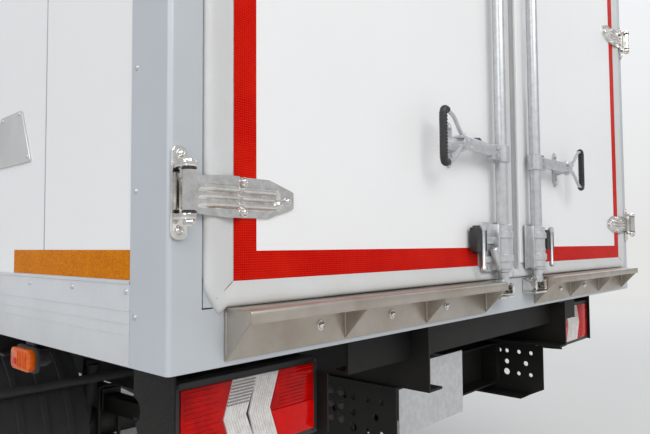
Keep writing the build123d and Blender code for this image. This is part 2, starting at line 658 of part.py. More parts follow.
# Stainless steelwork on the rear: bumper angles, hinge brackets, keepers and wall plates
angle_x = (165.0, half_width - 106.0)
angle_gauge = 4.0
angle_bottom_z = body_bottom_z + 9.0
lip_drop = 22.6
gusset_pitch = (angle_x[1] - angle_x[0] - angle_gauge) / 3
angle_lip_y = door_y + bumper_reach
ear_radius = 12.0
with BuildPart() as rear_steelwork:
    block(angle_x, (door_y, door_y + angle_gauge), (angle_bottom_z, sill_ledge_z))
    block(angle_x, (door_y, angle_lip_y), (sill_ledge_z - angle_gauge, sill_ledge_z))
    block(angle_x, (angle_lip_y - angle_gauge, angle_lip_y), (sill_ledge_z - lip_drop, sill_ledge_z))
    for step in range(4):
        gusset_x = angle_x[0] + step * gusset_pitch
        gusset = [(door_y, sill_ledge_z - 1), (angle_lip_y - 1, sill_ledge_z - 1),
                  (angle_lip_y - 1, sill_ledge_z - lip_drop + 4), (door_y, angle_bottom_z)]
        side_prism(gusset, gusset_x, gusset_x + angle_gauge)
    for hinge_z in hinge_heights:
        block((hinge_x - 14, hinge_x + 14), (door_y, door_y + 7),
              (hinge_z + bracket_rise[0], hinge_z + bracket_rise[1]))
        for ear_level in ear_levels:
            ear_z = (hinge_z + ear_level, hinge_z + ear_level + ear_thick)
            block((hinge_x - ear_radius, hinge_x + ear_radius), (door_y + 6, hinge_y), ear_z)
            bar((hinge_x, hinge_y, ear_z[0]), (hinge_x, hinge_y, ear_z[1]), ear_radius)
        bar((hinge_x, hinge_y, hinge_z - 55), (hinge_x, hinge_y, hinge_z + 48), pin_radius)
    keeper_z = (sill_ledge_z - 42, sill_ledge_z - 3)
    for cheek_x in (rod_x - 40, rod_x + 32):
        block((cheek_x, cheek_x + 8), (door_y, door_y + 46), keeper_z)
    block((rod_x - 40, rod_x + 40), (door_y, door_y + 5), keeper_z)
    block((rod_x - 40, rod_x + 40), (door_y, door_y + 46), (keeper_z[0] - 6, keeper_z[0]))
    top_keeper_z = header_ledge_z + 2
    for cheek_x in (rod_x - 40, rod_x + 32):
        block((cheek_x, cheek_x + 8), (door_y, door_y + 46), (top_keeper_z, top_keeper_z + 40))
    block((rod_x - 40, rod_x + 40), (door_y, door_y + 5), (top_keeper_z, top_keeper_z + 46))
    plate_outline = [(door_y - 528, 1312), (door_y - 582, 1431), (door_y - 702, 1429),
                     (door_y - 756, 1312)]
    side_prism(plate_outline, wall_outer_x, wall_outer_x + 4)
    mirror(about=Plane.YZ)
save(rear_steelwork.part, "rear_steelwork")

# Refrigeration unit on the nose of the body
unit_half = 880.0
unit_depth = 450.0
unit_z = (body_top_z - 690.0, body_top_z - 70.0)
unit_front_y = body_front_y - unit_depth
grille_z = (unit_z[0] + 90.0, unit_z[0] + 460.0)
grille_half = 690.0
with BuildPart() as cooling_unit:
    shape = [(body_front_y, unit_z[0]), (body_front_y, unit_z[1]), (unit_front_y + 170, unit_z[1]),
             (unit_front_y + 40, unit_z[1] - 90), (unit_front_y, unit_z[1] - 200),
             (unit_front_y, unit_z[0] + 80), (unit_front_y + 60, unit_z[0])]
    side_prism(shape, -unit_half, unit_half)
    for end in (0, -1):
        end_edges = cooling_unit.faces().sort_by(Axis.X)[end].edges()
        fillet(end_edges.filter_by(lambda edge: edge.center().Y < body_front_y - 1), 50)
    block((-grille_half, grille_half), (unit_front_y - 1, unit_front_y + 60), grille_z, mode=Mode.SUBTRACT)
save(cooling_unit.part, "cooling_unit")

slats = 9
with BuildPart() as cooling_grille:
    half = grille_half - 0.3
    low = grille_z[0] + 0.3
    high = grille_z[1] - 0.3
    block((-half, half), (unit_front_y + 2, unit_front_y + 40), (low, high))
    block((-half + 24, half - 24), (unit_front_y + 1, unit_front_y + 41), (low + 22, high - 22),
          mode=Mode.SUBTRACT)
    for post_x in (-half / 3, half / 3):
        block((post_x - 10, post_x + 10), (unit_front_y + 20, unit_front_y + 40), (low, high))
    slat_pitch = (high - low - 44) / slats
    for step in range(slats):
        slat_z = low + 22 + (step + 0.5) * slat_pitch
        tilt = [(unit_front_y + 4, slat_z - 15), (unit_front_y + 8, slat_z - 17),
                (unit_front_y + 36, slat_z + 13), (unit_front_y + 32, slat_z + 15)]
        side_prism(tilt, -half + 23, half - 23)
save(cooling_grille.part, "cooling_grille")

# Evaporator inside the load space
with BuildPart() as evaporator:
    inside_y = body_front_y + 60
    cover_z = wall_top_z - 270
    cover = [(inside_y, cover_z), (inside_y, wall_top_z - 2), (inside_y + 470, wall_top_z - 2),
             (inside_y + 470, cover_z + 180), (inside_y + 300, cover_z)]
    side_prism(cover, -640, 640)
    for fan_x in (-360, 0, 360):
        bar((fan_x, inside_y + 180, cover_z + 30), (fan_x, inside_y + 180, cover_z - 1), 130,
            mode=Mode.SUBTRACT)
save(evaporator.part, "evaporator")

# Rear doors: leaf, gasket and fittings for each side
left_edge_x = -6.0
right_edge_x = -40.0
seal_gap = 6.0


def leaf_outline(side, inset):
    """The low and high x of one leaf, with its meeting edge and outer edge drawn in by inset."""
    if side > 0:
        return (left_edge_x + inset, tape_edge_x - inset)
    return (-tape_edge_x + inset, right_edge_x - inset)


gasket_round = 9.0
strap_tip_x = half_width - 264.0
strap_rise_x = tape_edge_x - 13.0
strap_top_x = tape_edge_x - 1.0
strap_root_x = hinge_x - 27.0
strap_gauge = 4.0
# Columns: height of a pressed rib above the hinge centre, its radius
strap_ribs = [(8.6, 3.8), (-4.7, 3.0), (-18.0, 3.8)]
# Columns: x, height above the hinge centre of the strap's upper edge, and of its lower edge
strap_outline = [
    (strap_tip_x, 13, -19), (strap_tip_x + 62, 31, -37), (strap_root_x, 27, -34),
    (hinge_x - 12, 24, -29), (half_width + 2, 24, -29),
]
box_left = (75.0, 203.0)
box_height = 137.0
cover_radius = 21.5
# Columns: low and high x, how far it stands out, low and high z from the box's foot
box_parts = [((80, 89), 40, (4, 133)), ((143, 152), 40, (4, 133)), ((150, 200), 27, (75, 97)),
             ((150, 196), 23, (24, 44))]

for side, side_name in ((1, "left"), (-1, "right")):
    leaf_x = leaf_outline(side, 0.0)
    core_x = leaf_outline(side, door_clear + 4)
    core_edge = sorted((side * (tape_edge_x - door_clear), core_x[0] if side > 0 else core_x[1]))
    with BuildPart() as door_leaf:
        block(leaf_x, (door_y - leaf_step, door_y), (tape_bottom_z, tape_top_z))
        block(core_edge, (door_y - leaf_thick, door_y - leaf_step),
              (tape_bottom_z + 2, tape_top_z - 2))
    save(door_leaf.part, f"rear_door_{side_name}")

    with BuildPart() as gasket:
        meet = leaf_x[0] if side > 0 else leaf_x[1]
        outer = sorted((meet, side * gasket_edge_x))
        block(outer, (door_y - gasket_depth, door_y + gasket_proud),
              (tape_bottom_z - gasket_drop, tape_top_z + gasket_drop))
        fillet(gasket.edges().filter_by(Axis.Y).sort_by(Axis.X)[-2:] if side > 0
               else gasket.edges().filter_by(Axis.Y).sort_by(Axis.X)[:2], 14)
        fillet(gasket.faces().sort_by(Axis.Y)[-1].edges(), gasket_round)
        hollow = sorted((meet - side, side * tape_edge_x))
        block(hollow, (door_y - gasket_depth - 1, door_y + gasket_proud + 1),
              (tape_bottom_z, tape_top_z), mode=Mode.SUBTRACT)
        if side < 0:
            block((right_edge_x, left_edge_x - seal_gap), (door_y - leaf_step - 4, door_y + 8),
                  (tape_bottom_z - gasket_drop, tape_top_z + gasket_drop))
    save(gasket.part, f"rear_door_{side_name}_gasket")

    with BuildPart() as fittings:
        for hinge_z in hinge_heights:
            with BuildSketch(Plane.XY.offset(hinge_z - 40), mode=Mode.PRIVATE) as strap_plan:
                low_y = door_y + gasket_proud + 0.5
                high_y = low_y + strap_gauge
                Polygon(
                    (side * strap_tip_x, door_y), (side * strap_rise_x, door_y), (side * strap_top_x, low_y),
                    (side * (strap_root_x + 8), low_y), (side * hinge_x, hinge_y - 8),
                    (side * hinge_x, hinge_y), (side * (hinge_x - 6), hinge_y),
                    (side * (strap_root_x + 4), high_y), (side * (strap_top_x - 3), high_y),
                    (side * (strap_rise_x - 3), door_y + strap_gauge),
                    (side * (strap_tip_x + 3), door_y + strap_gauge), align=None,
                )
            extrude(strap_plan.sketch, amount=80)
        for hinge_z in hinge_heights:
            above = [(side * x, hinge_z + up) for x, up, down in strap_outline]
            below = [(side * x, hinge_z + down) for x, up, down in strap_outline]
            waste_x = (side * (strap_tip_x - 26), side * (half_width + 5))
            for edge, waste_z in ((above, hinge_z + 60), (below, hinge_z - 60)):
                rear_prism([(waste_x[0], waste_z), *edge, (waste_x[1], waste_z)],
                           door_y - 1, door_y + 60, mode=Mode.SUBTRACT)
            for rib_up, rib_radius in strap_ribs:
                rib_z = hinge_z + rib_up
                bar((side * (strap_tip_x + 48), door_y + strap_gauge, rib_z),
                    (side * (strap_rise_x - 4), door_y + strap_gauge, rib_z), rib_radius)
                bar((side * strap_top_x, high_y, rib_z), (side * (strap_root_x - 50), high_y, rib_z),
                    rib_radius)
            low_z, high_z = hinge_z + barrel_rise[0], hinge_z + barrel_rise[1]
            bar((side * hinge_x, hinge_y, low_z), (side * hinge_x, hinge_y, high_z), barrel_radius)
            bar((side * hinge_x, hinge_y, low_z - 1), (side * hinge_x, hinge_y, high_z + 1),
                pin_radius + pin_fit, mode=Mode.SUBTRACT)
        rod_y = door_y + rod_out
        bar((side * rod_x, rod_y, 1100), (side * rod_x, rod_y, tape_top_z - 30), rod_radius)
        for guide_z in (handle_z + 662, tape_top_z - 420):
            guide_x = sorted((side * (rod_x - 34), side * (rod_x + 34)))
            block(guide_x, (door_y, rod_y), (guide_z, guide_z + 36))
            bar((side * rod_x, rod_y, guide_z), (side * rod_x, rod_y, guide_z + 36), rod_radius + 7)
        for box_z, tail_z in ((1053.0, 1014.0), (tape_top_z - 120, tape_top_z + 70)):
            block(sorted((side * box_left[0], side * box_left[1])), (door_y + gasket_proud + 1, door_y + 17),
                  (box_z, box_z + box_height))
            bar((side * rod_x, rod_y, box_z + 6), (side * rod_x, rod_y, box_z + box_height - 6), cover_radius)
            for part_x, part_out, part_z in box_parts:
                block(sorted((side * part_x[0], side * part_x[1])), (door_y + 16, door_y + part_out),
                      (box_z + part_z[0], box_z + part_z[1]))
            bar((side * 166, door_y + 30, box_z + 96), (side * 142, door_y + 30, box_z + 40), 11)
            block(sorted((side * (rod_x - 26), side * (rod_x + 26))),
                  (door_y + 23, door_y + 43), sorted((tail_z, box_z + 60)))
        block(sorted((side * 84, side * 196)), (door_y, door_y + 12), (1080, 1185))
        block(sorted((side * 84, side * 196)), (door_y, door_y + 12), (tape_top_z - 112, tape_top_z - 8))
        block(sorted((side * 205, side * 262)), (door_y, door_y + 34), (1114, 1178))
        grip_y = door_y + grip_out
        bar((side * grip_x, grip_y, handle_z - 68), (side * grip_x, grip_y, handle_z + 68), 18)
        for sign in (-1, 1):
            arm = [(side * 350, handle_z + sign * 8), (side * 350, handle_z + sign * 30),
                   (side * grip_x, handle_z + sign * 64), (side * grip_x, handle_z + sign * 44)]
            rear_prism(arm, grip_y - 5, grip_y + 5)
        block(sorted((side * 318, side * 384)), (door_y, grip_y + 5), (handle_z - 20, handle_z + 20))
        block(sorted((side * 330, side * 372)), (door_y, door_y + 8), (handle_z - 67, handle_z + 57))
        block(sorted((side * rod_x, side * 330)), (rod_y - 6, rod_y + 6), (handle_z - 20, handle_z + 20))
        bar((side * rod_x, rod_y, handle_z - 31), (side * rod_x, rod_y, handle_z + 19), rod_radius + 6)
        bar((side * 213, door_y, handle_z + 17), (side * 213, door_y + 22, handle_z + 17), 20)
    save(fittings.part, f"rear_door_{side_name}_fittings")

# Cab form: side outline, rounded plan and rounded front view, all drawn in by the same inset
# Columns: distance behind the front, height
cab_side = [(55, 600), (75, 1120), (250, 1950), (330, 2225), (440, 2290), (1600, 2290),
            (1700, 2190), (1700, 600)]


def cab_form(inset):
    """The cab's outer form drawn in by inset on every side but the bottom."""
    with BuildPart() as form:
        with BuildSketch(Plane.YZ.offset(-cab_half), mode=Mode.PRIVATE) as outline:
            Polygon(*[(front + y, z) for y, z in cab_side], align=None)
            fillet(outline.vertices().group_by(Axis.Y)[2:5], 40)
            offset(amount=-inset, kind=Kind.INTERSECTION)
        extrude(outline.sketch, amount=2 * cab_half)
        with BuildSketch(Plane.XY.offset(500), mode=Mode.PRIVATE) as plan_view:
            with Locations((0, front + 55 + 1000)):
                RectangleRounded(2 * (cab_half - inset), 2000 - 2 * inset, 150 - inset)
        extrude(plan_view.sketch, amount=2000, mode=Mode.INTERSECT)
        with BuildSketch(Plane.XZ.offset(-front), mode=Mode.PRIVATE) as front_view:
            top_half = cab_half - 62 - inset
            Polygon(
                (-cab_half + inset, 500), (-cab_half + inset, belt_z - 60), (-top_half, cab_top_z - inset),
                (top_half, cab_top_z - inset), (cab_half - inset, belt_z - 60), (cab_half - inset, 500),
                align=None,
            )
            fillet(front_view.vertices().group_by(Axis.Y)[-1], 130)
        extrude(front_view.sketch, amount=-2500, mode=Mode.INTERSECT)
    return form.part


def cab_side_cut(points, low_x, high_x, mode=Mode.ADD, rounding=0.0):
    """An outline of (distance behind the front, height) carried across one side of the cab."""
    side_prism([(front + y, z) for y, z in points], low_x, high_x, mode=mode, rounding=rounding)


door_outline = [(235, 880), (1190, 880), (1190, 2180), (455, 2180), (350, 1900), (235, 1330)]
side_window = [(300, 1365), (1120, 1365), (1120, 2090), (500, 2090), (405, 1860)]
screen_low_x = cab_half - 125.0
screen_high_x = cab_half - 200.0
screen_outline = [(-screen_low_x, 1190), (screen_low_x, 1190), (screen_high_x, 2110), (-screen_high_x, 2110)]
rear_window_outline = [(-560, 1560), (560, 1560), (560, 1960), (-560, 1960)]
tunnel_half = 400.0
tunnel_top_z = 1045.0
cab_outer = cab_form(0.0)
cab_inner = cab_form(cab_wall)

with BuildPart() as cab_shell:
    add(cab_outer)
    block((-cab_half - 1, cab_half + 1), (front + 112, cab_back_y + 1), (500, cab_bottom_z),
          mode=Mode.SUBTRACT)
    block((-tunnel_half + 45, tunnel_half - 45), (front + 430, cab_back_y + 1), (500, tunnel_top_z - 45),
          mode=Mode.SUBTRACT)
    with BuildPart(mode=Mode.PRIVATE) as room:
        add(cab_inner)
        block((-cab_half, cab_half), (front, cab_back_y + 50), (400, cab_floor_z), mode=Mode.SUBTRACT)
        block((-tunnel_half, tunnel_half), (front + 385, cab_back_y + 50), (400, tunnel_top_z),
              mode=Mode.SUBTRACT)
    add(room.part, mode=Mode.SUBTRACT)
    for side in (-1, 1):
        low_x, high_x = sorted((side * (cab_half - 200), side * (cab_half + 1)))
        cab_side_cut(door_outline, low_x, high_x, mode=Mode.SUBTRACT, rounding=24)
    rear_prism(screen_outline, front - 1, front + 420, mode=Mode.SUBTRACT, rounding=70)
    rear_prism(rear_window_outline, cab_back_y - 80, cab_back_y + 1, mode=Mode.SUBTRACT, rounding=60)
    for side in (-1, 1):
        pad = [(pivot_y - 26, pivot_z - 26), (pivot_y + 26, pivot_z - 26), (pivot_y + 60, cab_bottom_z),
               (pivot_y - 60, cab_bottom_z)]
        ear_x = sorted((side * (rail_web_x + 5), side * (rail_web_x + 41)))
        side_prism(pad, ear_x[0], ear_x[1])
        bar((side * rail_web_x, pivot_y, pivot_z), (side * (pivot_end_x + 1), pivot_y, pivot_z),
            pivot_radius + pin_fit, mode=Mode.SUBTRACT)
    for side in (-1, 1):
        for hinge_z in cab_hinge_heights:
            axis_x = side * cab_hinge_x
            for ear_z in (hinge_z - 31, hinge_z + 25.5):
                block(sorted((side * (cab_half - 1), side * (cab_hinge_x + 4))),
                      (cab_hinge_y - 34, cab_hinge_y - 3), (ear_z, ear_z + 5.5))
                bar((axis_x, cab_hinge_y, ear_z), (axis_x, cab_hinge_y, ear_z + 5.5), cab_barrel)
            bar((axis_x, cab_hinge_y, hinge_z - 31), (axis_x, cab_hinge_y, hinge_z + 31), cab_pin)
save(cab_shell.part, "cab_shell")

pull_y = (front + 1030.0, front + 1150.0)
pull_z = 1205.0
glass_in = 14.0
glass_gauge = 6.0
glass_edge = 0.3
glass_outer = cab_form(glass_in)
glass_inner = cab_form(glass_in + glass_gauge)
with BuildPart() as cab_glass:
    add(glass_outer)
    add(glass_inner, mode=Mode.SUBTRACT)
    with BuildPart(mode=Mode.PRIVATE) as glass_limits:
        with BuildSketch(Plane.XZ.offset(-(front - 1)), mode=Mode.PRIVATE) as screen:
            Polygon(*screen_outline, align=None)
            fillet(screen.vertices(), 70)
            offset(amount=-glass_edge)
        extrude(screen.sketch, amount=-421)
        with BuildSketch(Plane.XZ.offset(-(cab_back_y - 80)), mode=Mode.PRIVATE) as back_pane:
            Polygon(*rear_window_outline, align=None)
            fillet(back_pane.vertices(), 60)
            offset(amount=-glass_edge)
        extrude(back_pane.sketch, amount=-81)
    add(glass_limits.part, mode=Mode.INTERSECT)
save(cab_glass.part, "cab_glass")

for side, side_name in ((1, "left"), (-1, "right")):
    low_x, high_x = sorted((side * (cab_half - 200), side * (cab_half + 1)))
    with BuildPart() as cab_door:
        add(cab_outer)
        add(cab_inner, mode=Mode.SUBTRACT)
        with BuildPart(mode=Mode.PRIVATE) as door_limits:
            with BuildSketch(Plane.YZ.offset(low_x), mode=Mode.PRIVATE) as aperture:
                Polygon(*[(front + y, z) for y, z in door_outline], align=None)
                fillet(aperture.vertices(), 24)
                offset(amount=-door_gap)
            extrude(aperture.sketch, amount=high_x - low_x)
        add(door_limits.part, mode=Mode.INTERSECT)
        cab_side_cut(side_window, low_x, high_x, mode=Mode.SUBTRACT, rounding=50)
        for hinge_z in cab_hinge_heights:
            axis_x = side * cab_hinge_x
            block(sorted((side * (cab_half - 1), side * (cab_hinge_x + 3))),
                  (cab_hinge_y + 6, cab_hinge_y + 44), (hinge_z - 25, hinge_z + 25))
            bar((axis_x, cab_hinge_y, hinge_z - 25), (axis_x, cab_hinge_y, hinge_z + 25), cab_barrel)
            bar((axis_x, cab_hinge_y, hinge_z - 26), (axis_x, cab_hinge_y, hinge_z + 26),
                cab_pin + pin_fit, mode=Mode.SUBTRACT)
        bowl_x = sorted((side * (cab_half - 25), side * (cab_half + 1)))
        block(bowl_x, (pull_y[0], pull_y[1]), (pull_z - 30, pull_z + 40), mode=Mode.SUBTRACT)
        block(sorted((side * (cab_half - 6), side * (cab_half + 12))), (pull_y[0] - 8, pull_y[1] + 8),
              (pull_z, pull_z + 20))
    save(cab_door.part, f"cab_door_{side_name}")
    with BuildPart() as door_glass:
        add(glass_outer)
        add(glass_inner, mode=Mode.SUBTRACT)
        with BuildPart(mode=Mode.PRIVATE) as pane_limits:
            with BuildSketch(Plane.YZ.offset(low_x), mode=Mode.PRIVATE) as pane:
                Polygon(*[(front + y, z) for y, z in side_window], align=None)
                fillet(pane.vertices(), 50)
                offset(amount=-glass_edge)
            extrude(pane.sketch, amount=high_x - low_x)
        add(pane_limits.part, mode=Mode.INTERSECT)
    save(door_glass.part, f"cab_door_{side_name}_glass")

# Cab trim: front grille and the step housings under the doors
with BuildPart() as cab_trim:
    for side in (-1, 1):
        house_x = sorted((side * (cab_half - 210), side * (cab_half - 4)))
        step_side = [(116, 395), (560, 395), (600, 520), (640, 858), (116, 858)]
        side_prism([(front + y, z) for y, z in step_side], house_x[0], house_x[1], rounding=12)
        for step_z in (440, 640):
            recess_x = sorted((side * (cab_half - 130), side * (cab_half + 1)))
            block(recess_x, (front + 170, front + 555), (step_z, step_z + 165), mode=Mode.SUBTRACT)
    side_prism([(front + 38, 700), (front + 50, 1080), (front + 73.1, 1080), (front + 58.5, 700)], -620, 620)
    for step in range(6):
        slot_z = 730 + step * 55
        block((-590, 590), (front + 30, front + 57 + step * 2.0), (slot_z, slot_z + 30), mode=Mode.SUBTRACT)
save(cab_trim.part, "cab_trim")

# Headlamps in the cab's lower front corners
with BuildPart() as headlamps:
    lamp_face = [(front + 30, 655), (front + 36, 815), (front + 62.9, 815), (front + 56.8, 655)]
    side_prism(lamp_face, 640, cab_half - 150)
    fillet(headlamps.faces().sort_by(Axis.Y)[0].edges(), 8)
    for bowl_x in (700, 812):
        bar((bowl_x, front + 28, 735), (bowl_x, front + 50, 735), 50)
    mirror(about=Plane.YZ)
save(headlamps.part, "headlamps")

# Dashboard with its cowl and steering column
column_x = 470.0
wheel_tilt = 62.0
steer_hub = (column_x, front + 560.0, 1345.0)
column_dir = (0.0, -cos(radians(wheel_tilt)), -sin(radians(wheel_tilt)))
hub_half = 25.0
with BuildPart() as cab_interior:
    dash = [(180, 960), (180, 1180), (250, 1215), (430, 1200), (470, 1130), (440, 1065), (375, 1062),
            (330, 960)]
    side_prism([(front + y, z) for y, z in dash], -(cab_half - 90), cab_half - 90, rounding=18)
    cowl = [(300, 1180), (330, 1270), (440, 1265), (470, 1180)]
    side_prism([(front + y, z) for y, z in cowl], column_x - 190, column_x + 190, rounding=15)
    start = tuple(steer_hub[i] + column_dir[i] * (hub_half + seat_gap) for i in range(3))
    end = tuple(steer_hub[i] + column_dir[i] * 330 for i in range(3))
    bar(start, end, 34)
    block((-120, 120), (front + 386, front + 430), (tunnel_top_z + seat_gap, 1075))
    lever_foot = (70, front + 415, 1060)
    lever_head = (90, front + 520, 1240)
    bar(lever_foot, lever_head, 9)
    with Locations(lever_head):
        Sphere(24)
    for pedal_x in (column_x - 110, column_x, column_x + 120):
        bar((pedal_x, front + 300, 975), (pedal_x, front + 345, 935), 8)
        block((pedal_x - 28, pedal_x + 28), (front + 338, front + 350), (912, 980))
save(cab_interior.part, "cab_interior")

# Seats: cushion, back and head rest of each
seat_floor = 1110.0
with BuildPart() as seats:
    for seat_x, seat_half in ((column_x, 240), (-470, 300)):
        cushion = [(820, seat_floor + 20), (820, seat_floor + 120), (1270, seat_floor + 90),
                   (1270, seat_floor)]
        side_prism([(front + y, z) for y, z in cushion], seat_x - seat_half, seat_x + seat_half, rounding=20)
        back = [(1235, seat_floor + 50), (1370, seat_floor + 20), (1520, seat_floor + 660),
                (1430, seat_floor + 680)]
        side_prism([(front + y, z) for y, z in back], seat_x - seat_half, seat_x + seat_half, rounding=25)
        seat_side = seat_x / abs(seat_x)
        base_x = sorted((seat_side * (tunnel_half + 8), seat_side * (abs(seat_x) + 200)))
        block(base_x, (front + 860, front + 1220), (cab_floor_z, seat_floor + 12))
        block((seat_x - 130, seat_x + 130), (front + 1455, front + 1525),
              (seat_floor + 700, seat_floor + 850))
        for post_x in (seat_x - 60, seat_x + 60):
            bar((post_x, front + 1478, seat_floor + 640), (post_x, front + 1490, seat_floor + 720), 8)
save(seats.part, "seats")

# Mirrors on arms from the windscreen pillars
mirror_x = (cab_half + 95.0, cab_half + 260.0)
with BuildPart() as mirrors:
    block(mirror_x, (front + 130, front + 215), (1500, 1930))
    fillet(mirrors.edges().filter_by(Axis.Z), 25)
    fillet(mirrors.edges().filter_by(Axis.X), 20)
    for arm_z, inner_x in ((1560, cab_half - 14.8), (1870, cab_half - 33.7)):
        bar((inner_x, front + 200, arm_z), (mirror_x[0] + 20, front + 175, arm_z), 13)
    mirror(about=Plane.YZ)
save(mirrors.part, "mirrors")

# Steering wheel
rim_radius = 215.0
with BuildPart() as steering_wheel:
    wheel_plane = Plane(origin=steer_hub, z_dir=tuple(-c for c in column_dir))
    with Locations(wheel_plane):
        Torus(rim_radius, 15)
        Cylinder(62, 2 * hub_half)
        with PolarLocations(rim_radius / 2, 3, start_angle=90):
            Box(rim_radius - 8, 34, 14)
save(steering_wheel.part, "steering_wheel")

# Steering knuckles: king pin, fork, stub and steering arm
stub_radius = 30.0
arm_length = 150.0
fork_gap = 0.5
arm_z = axle_z - 58.0
for side, side_name in ((1, "left"), (-1, "right")):
    with BuildPart() as knuckle:
        pin_x = side * kingpin_x
        half = eye_height / 2 + fork_gap
        bar((pin_x, front_axle_y, pin_z - half - 28), (pin_x, front_axle_y, pin_z + half + 28), king_radius)
        for low, high in ((pin_z - half - 28, pin_z - half), (pin_z + half, pin_z + half + 28)):
            bar((pin_x, front_axle_y, low), (pin_x, front_axle_y, high), 34)
            block(sorted((pin_x, pin_x + side * 62)), (front_axle_y - 34, front_axle_y + 34), (low, high))
        block(sorted((pin_x + side * 42, pin_x + side * 62)), (front_axle_y - 46, front_axle_y + 46),
              (pin_z - half - 28, pin_z + half + 28))
        bar((pin_x + side * 60, front_axle_y, axle_z), (pin_x + side * 128, front_axle_y, axle_z),
            stub_radius)
        block((pin_x - 16, pin_x + 16), (front_axle_y + 28, front_axle_y + arm_length), (arm_z - 18, arm_z))
        bar((pin_x, front_axle_y + arm_length, arm_z - 18), (pin_x, front_axle_y + arm_length, arm_z), 22)
    save(knuckle.part, f"knuckle_{side_name}")

with BuildPart() as tie_rod:
    rod_centre_z = arm_z - 18 - seat_gap - 20
    eye_y = front_axle_y + arm_length
    bar((-kingpin_x, eye_y, rod_centre_z), (kingpin_x, eye_y, rod_centre_z), 14)
    for side in (-1, 1):
        bar((side * kingpin_x, eye_y, rod_centre_z - 20), (side * kingpin_x, eye_y, rod_centre_z + 20), 20)
save(tie_rod.part, "tie_rod")

# Wheels: tyre outlines and rim outlines of (across, radius), turned about the axle
half_tyre = tyre_width / 2
tyre_outline = [
    (-78, bead_radius), (78, bead_radius), (78, 240), (96, 258), (half_tyre, 300), (103, 345), (92, 372),
    (70, tyre_radius), (-70, tyre_radius), (-92, 372), (-103, 345), (-half_tyre, 300), (-96, 258),
    (-78, 240),
]
rim_seat = bead_radius - seat_gap
# The barrel with its two flanges, open at the middle for the disc
barrel_outline = [
    (-86, 236), (-78.3, 236), (-78.3, rim_seat), (-30, rim_seat - 18), (30, rim_seat - 18),
    (78.3, rim_seat), (78.3, 236), (86, 236), (84, 212), (34, 192), (-34, 192), (-84, 212),
]
# Front wheel: dished disc, hub with its blind bore, brake drum
bore_radius = stub_radius + pin_fit
front_disc = [(20, 194), (74, 150), (74, 70), (62, 70), (62, 146), (6, 192)]
front_hub = [(-26, bore_radius), (26, bore_radius), (26, 0), (100, 0), (100, 72), (-26, 72)]
front_drum = [(-34, 176), (24, 176), (24, 60), (12, 60), (12, 164), (-34, 164)]
# Rear wheels: the two discs meet on the bolting plane
hand_holes = 8
front_hand_radius = 170.0
rear_hand_radius = 171.0
hub_from = drum_x + seat_gap
plate_from = twin_inner_x + twin_spacing / 2
rear_hub = [(hub_from, 0), (hub_from, 82), (plate_from + 120, 82), (plate_from + 120, 0)]
rear_drum = [(hub_from, 178), (hub_from + 125, 178), (hub_from + 145, 80), (hub_from + 125, 80),
             (hub_from + 115, 164), (hub_from, 164)]
inner_disc = [(twin_inner_x + 46, 204), (plate_from, 150), (plate_from, 70), (plate_from - 12, 70),
              (plate_from - 12, 146), (twin_inner_x + 34, 200)]
outer_disc = [(2 * plate_from - x, radius) for x, radius in inner_disc]


def cut_hand_holes(x_from, x_to, y_axis, ring_radius, hole_radius):
    """The ring of hand holes through a wheel's disc."""
    for step in range(hand_holes):
        turn = radians((step + 0.5) * 360 / hand_holes)
        hand_y = y_axis + ring_radius * cos(turn)
        hand_z = axle_z + ring_radius * sin(turn)
        bar((x_from, hand_y, hand_z), (x_to, hand_y, hand_z), hole_radius, mode=Mode.SUBTRACT)


for side, side_name in ((1, "left"), (-1, "right")):
    centre_x = side * front_wheel_x
    with BuildPart() as front_tyre:
        spin([moved(tyre_outline, centre_x)], front_axle_y, axle_z)
    save(front_tyre.part, f"front_tyre_{side_name}")
    with BuildPart() as front_rim:
        front_pieces = (barrel_outline, front_disc, front_hub, front_drum)
        spin([moved(piece, centre_x, side) for piece in front_pieces], front_axle_y, axle_z)
        cut_hand_holes(centre_x, centre_x + side * 90, front_axle_y, front_hand_radius, 17)
    save(front_rim.part, f"front_rim_{side_name}")

    twin_x = [side * twin_inner_x, side * (twin_inner_x + twin_spacing)]
    with BuildPart() as rear_tyres:
        for tyre_x in twin_x:
            spin([moved(tyre_outline, tyre_x)], rear_axle_y, axle_z)
    save(rear_tyres.part, f"rear_tyres_{side_name}")
    with BuildPart() as rear_rims:
        barrels = [moved(barrel_outline, tyre_x) for tyre_x in twin_x]
        rear_pieces = [moved(piece, 0, side) for piece in (inner_disc, outer_disc, rear_hub, rear_drum)]
        spin(barrels + rear_pieces, rear_axle_y, axle_z)
        cut_hand_holes(side * (plate_from - 68), side * (plate_from + 68), rear_axle_y, rear_hand_radius, 16)
    save(rear_rims.part, f"rear_rims_{side_name}")
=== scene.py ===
"""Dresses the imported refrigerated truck: finishes for every node, and the fine pieces on it.

Sizes in the calls are millimetres in the truck's frame; the meshes are metres.
"""

from math import cos, hypot, pi, radians, sin, tan

import bpy
from mathutils import Matrix, Vector


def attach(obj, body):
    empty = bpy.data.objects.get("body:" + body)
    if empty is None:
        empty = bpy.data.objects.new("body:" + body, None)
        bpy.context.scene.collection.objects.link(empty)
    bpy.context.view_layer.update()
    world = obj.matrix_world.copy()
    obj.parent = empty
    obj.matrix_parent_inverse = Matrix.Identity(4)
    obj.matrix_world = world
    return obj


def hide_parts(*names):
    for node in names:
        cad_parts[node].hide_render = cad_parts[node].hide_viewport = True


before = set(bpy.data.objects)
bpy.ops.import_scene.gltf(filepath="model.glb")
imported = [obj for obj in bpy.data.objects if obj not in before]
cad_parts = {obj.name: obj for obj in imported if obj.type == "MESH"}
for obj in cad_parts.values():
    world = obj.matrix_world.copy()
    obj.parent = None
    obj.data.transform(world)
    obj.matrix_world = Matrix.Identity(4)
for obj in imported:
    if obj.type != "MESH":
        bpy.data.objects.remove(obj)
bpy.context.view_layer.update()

MM = 0.001
front = -3395.0
front_axle_y = front + 1140
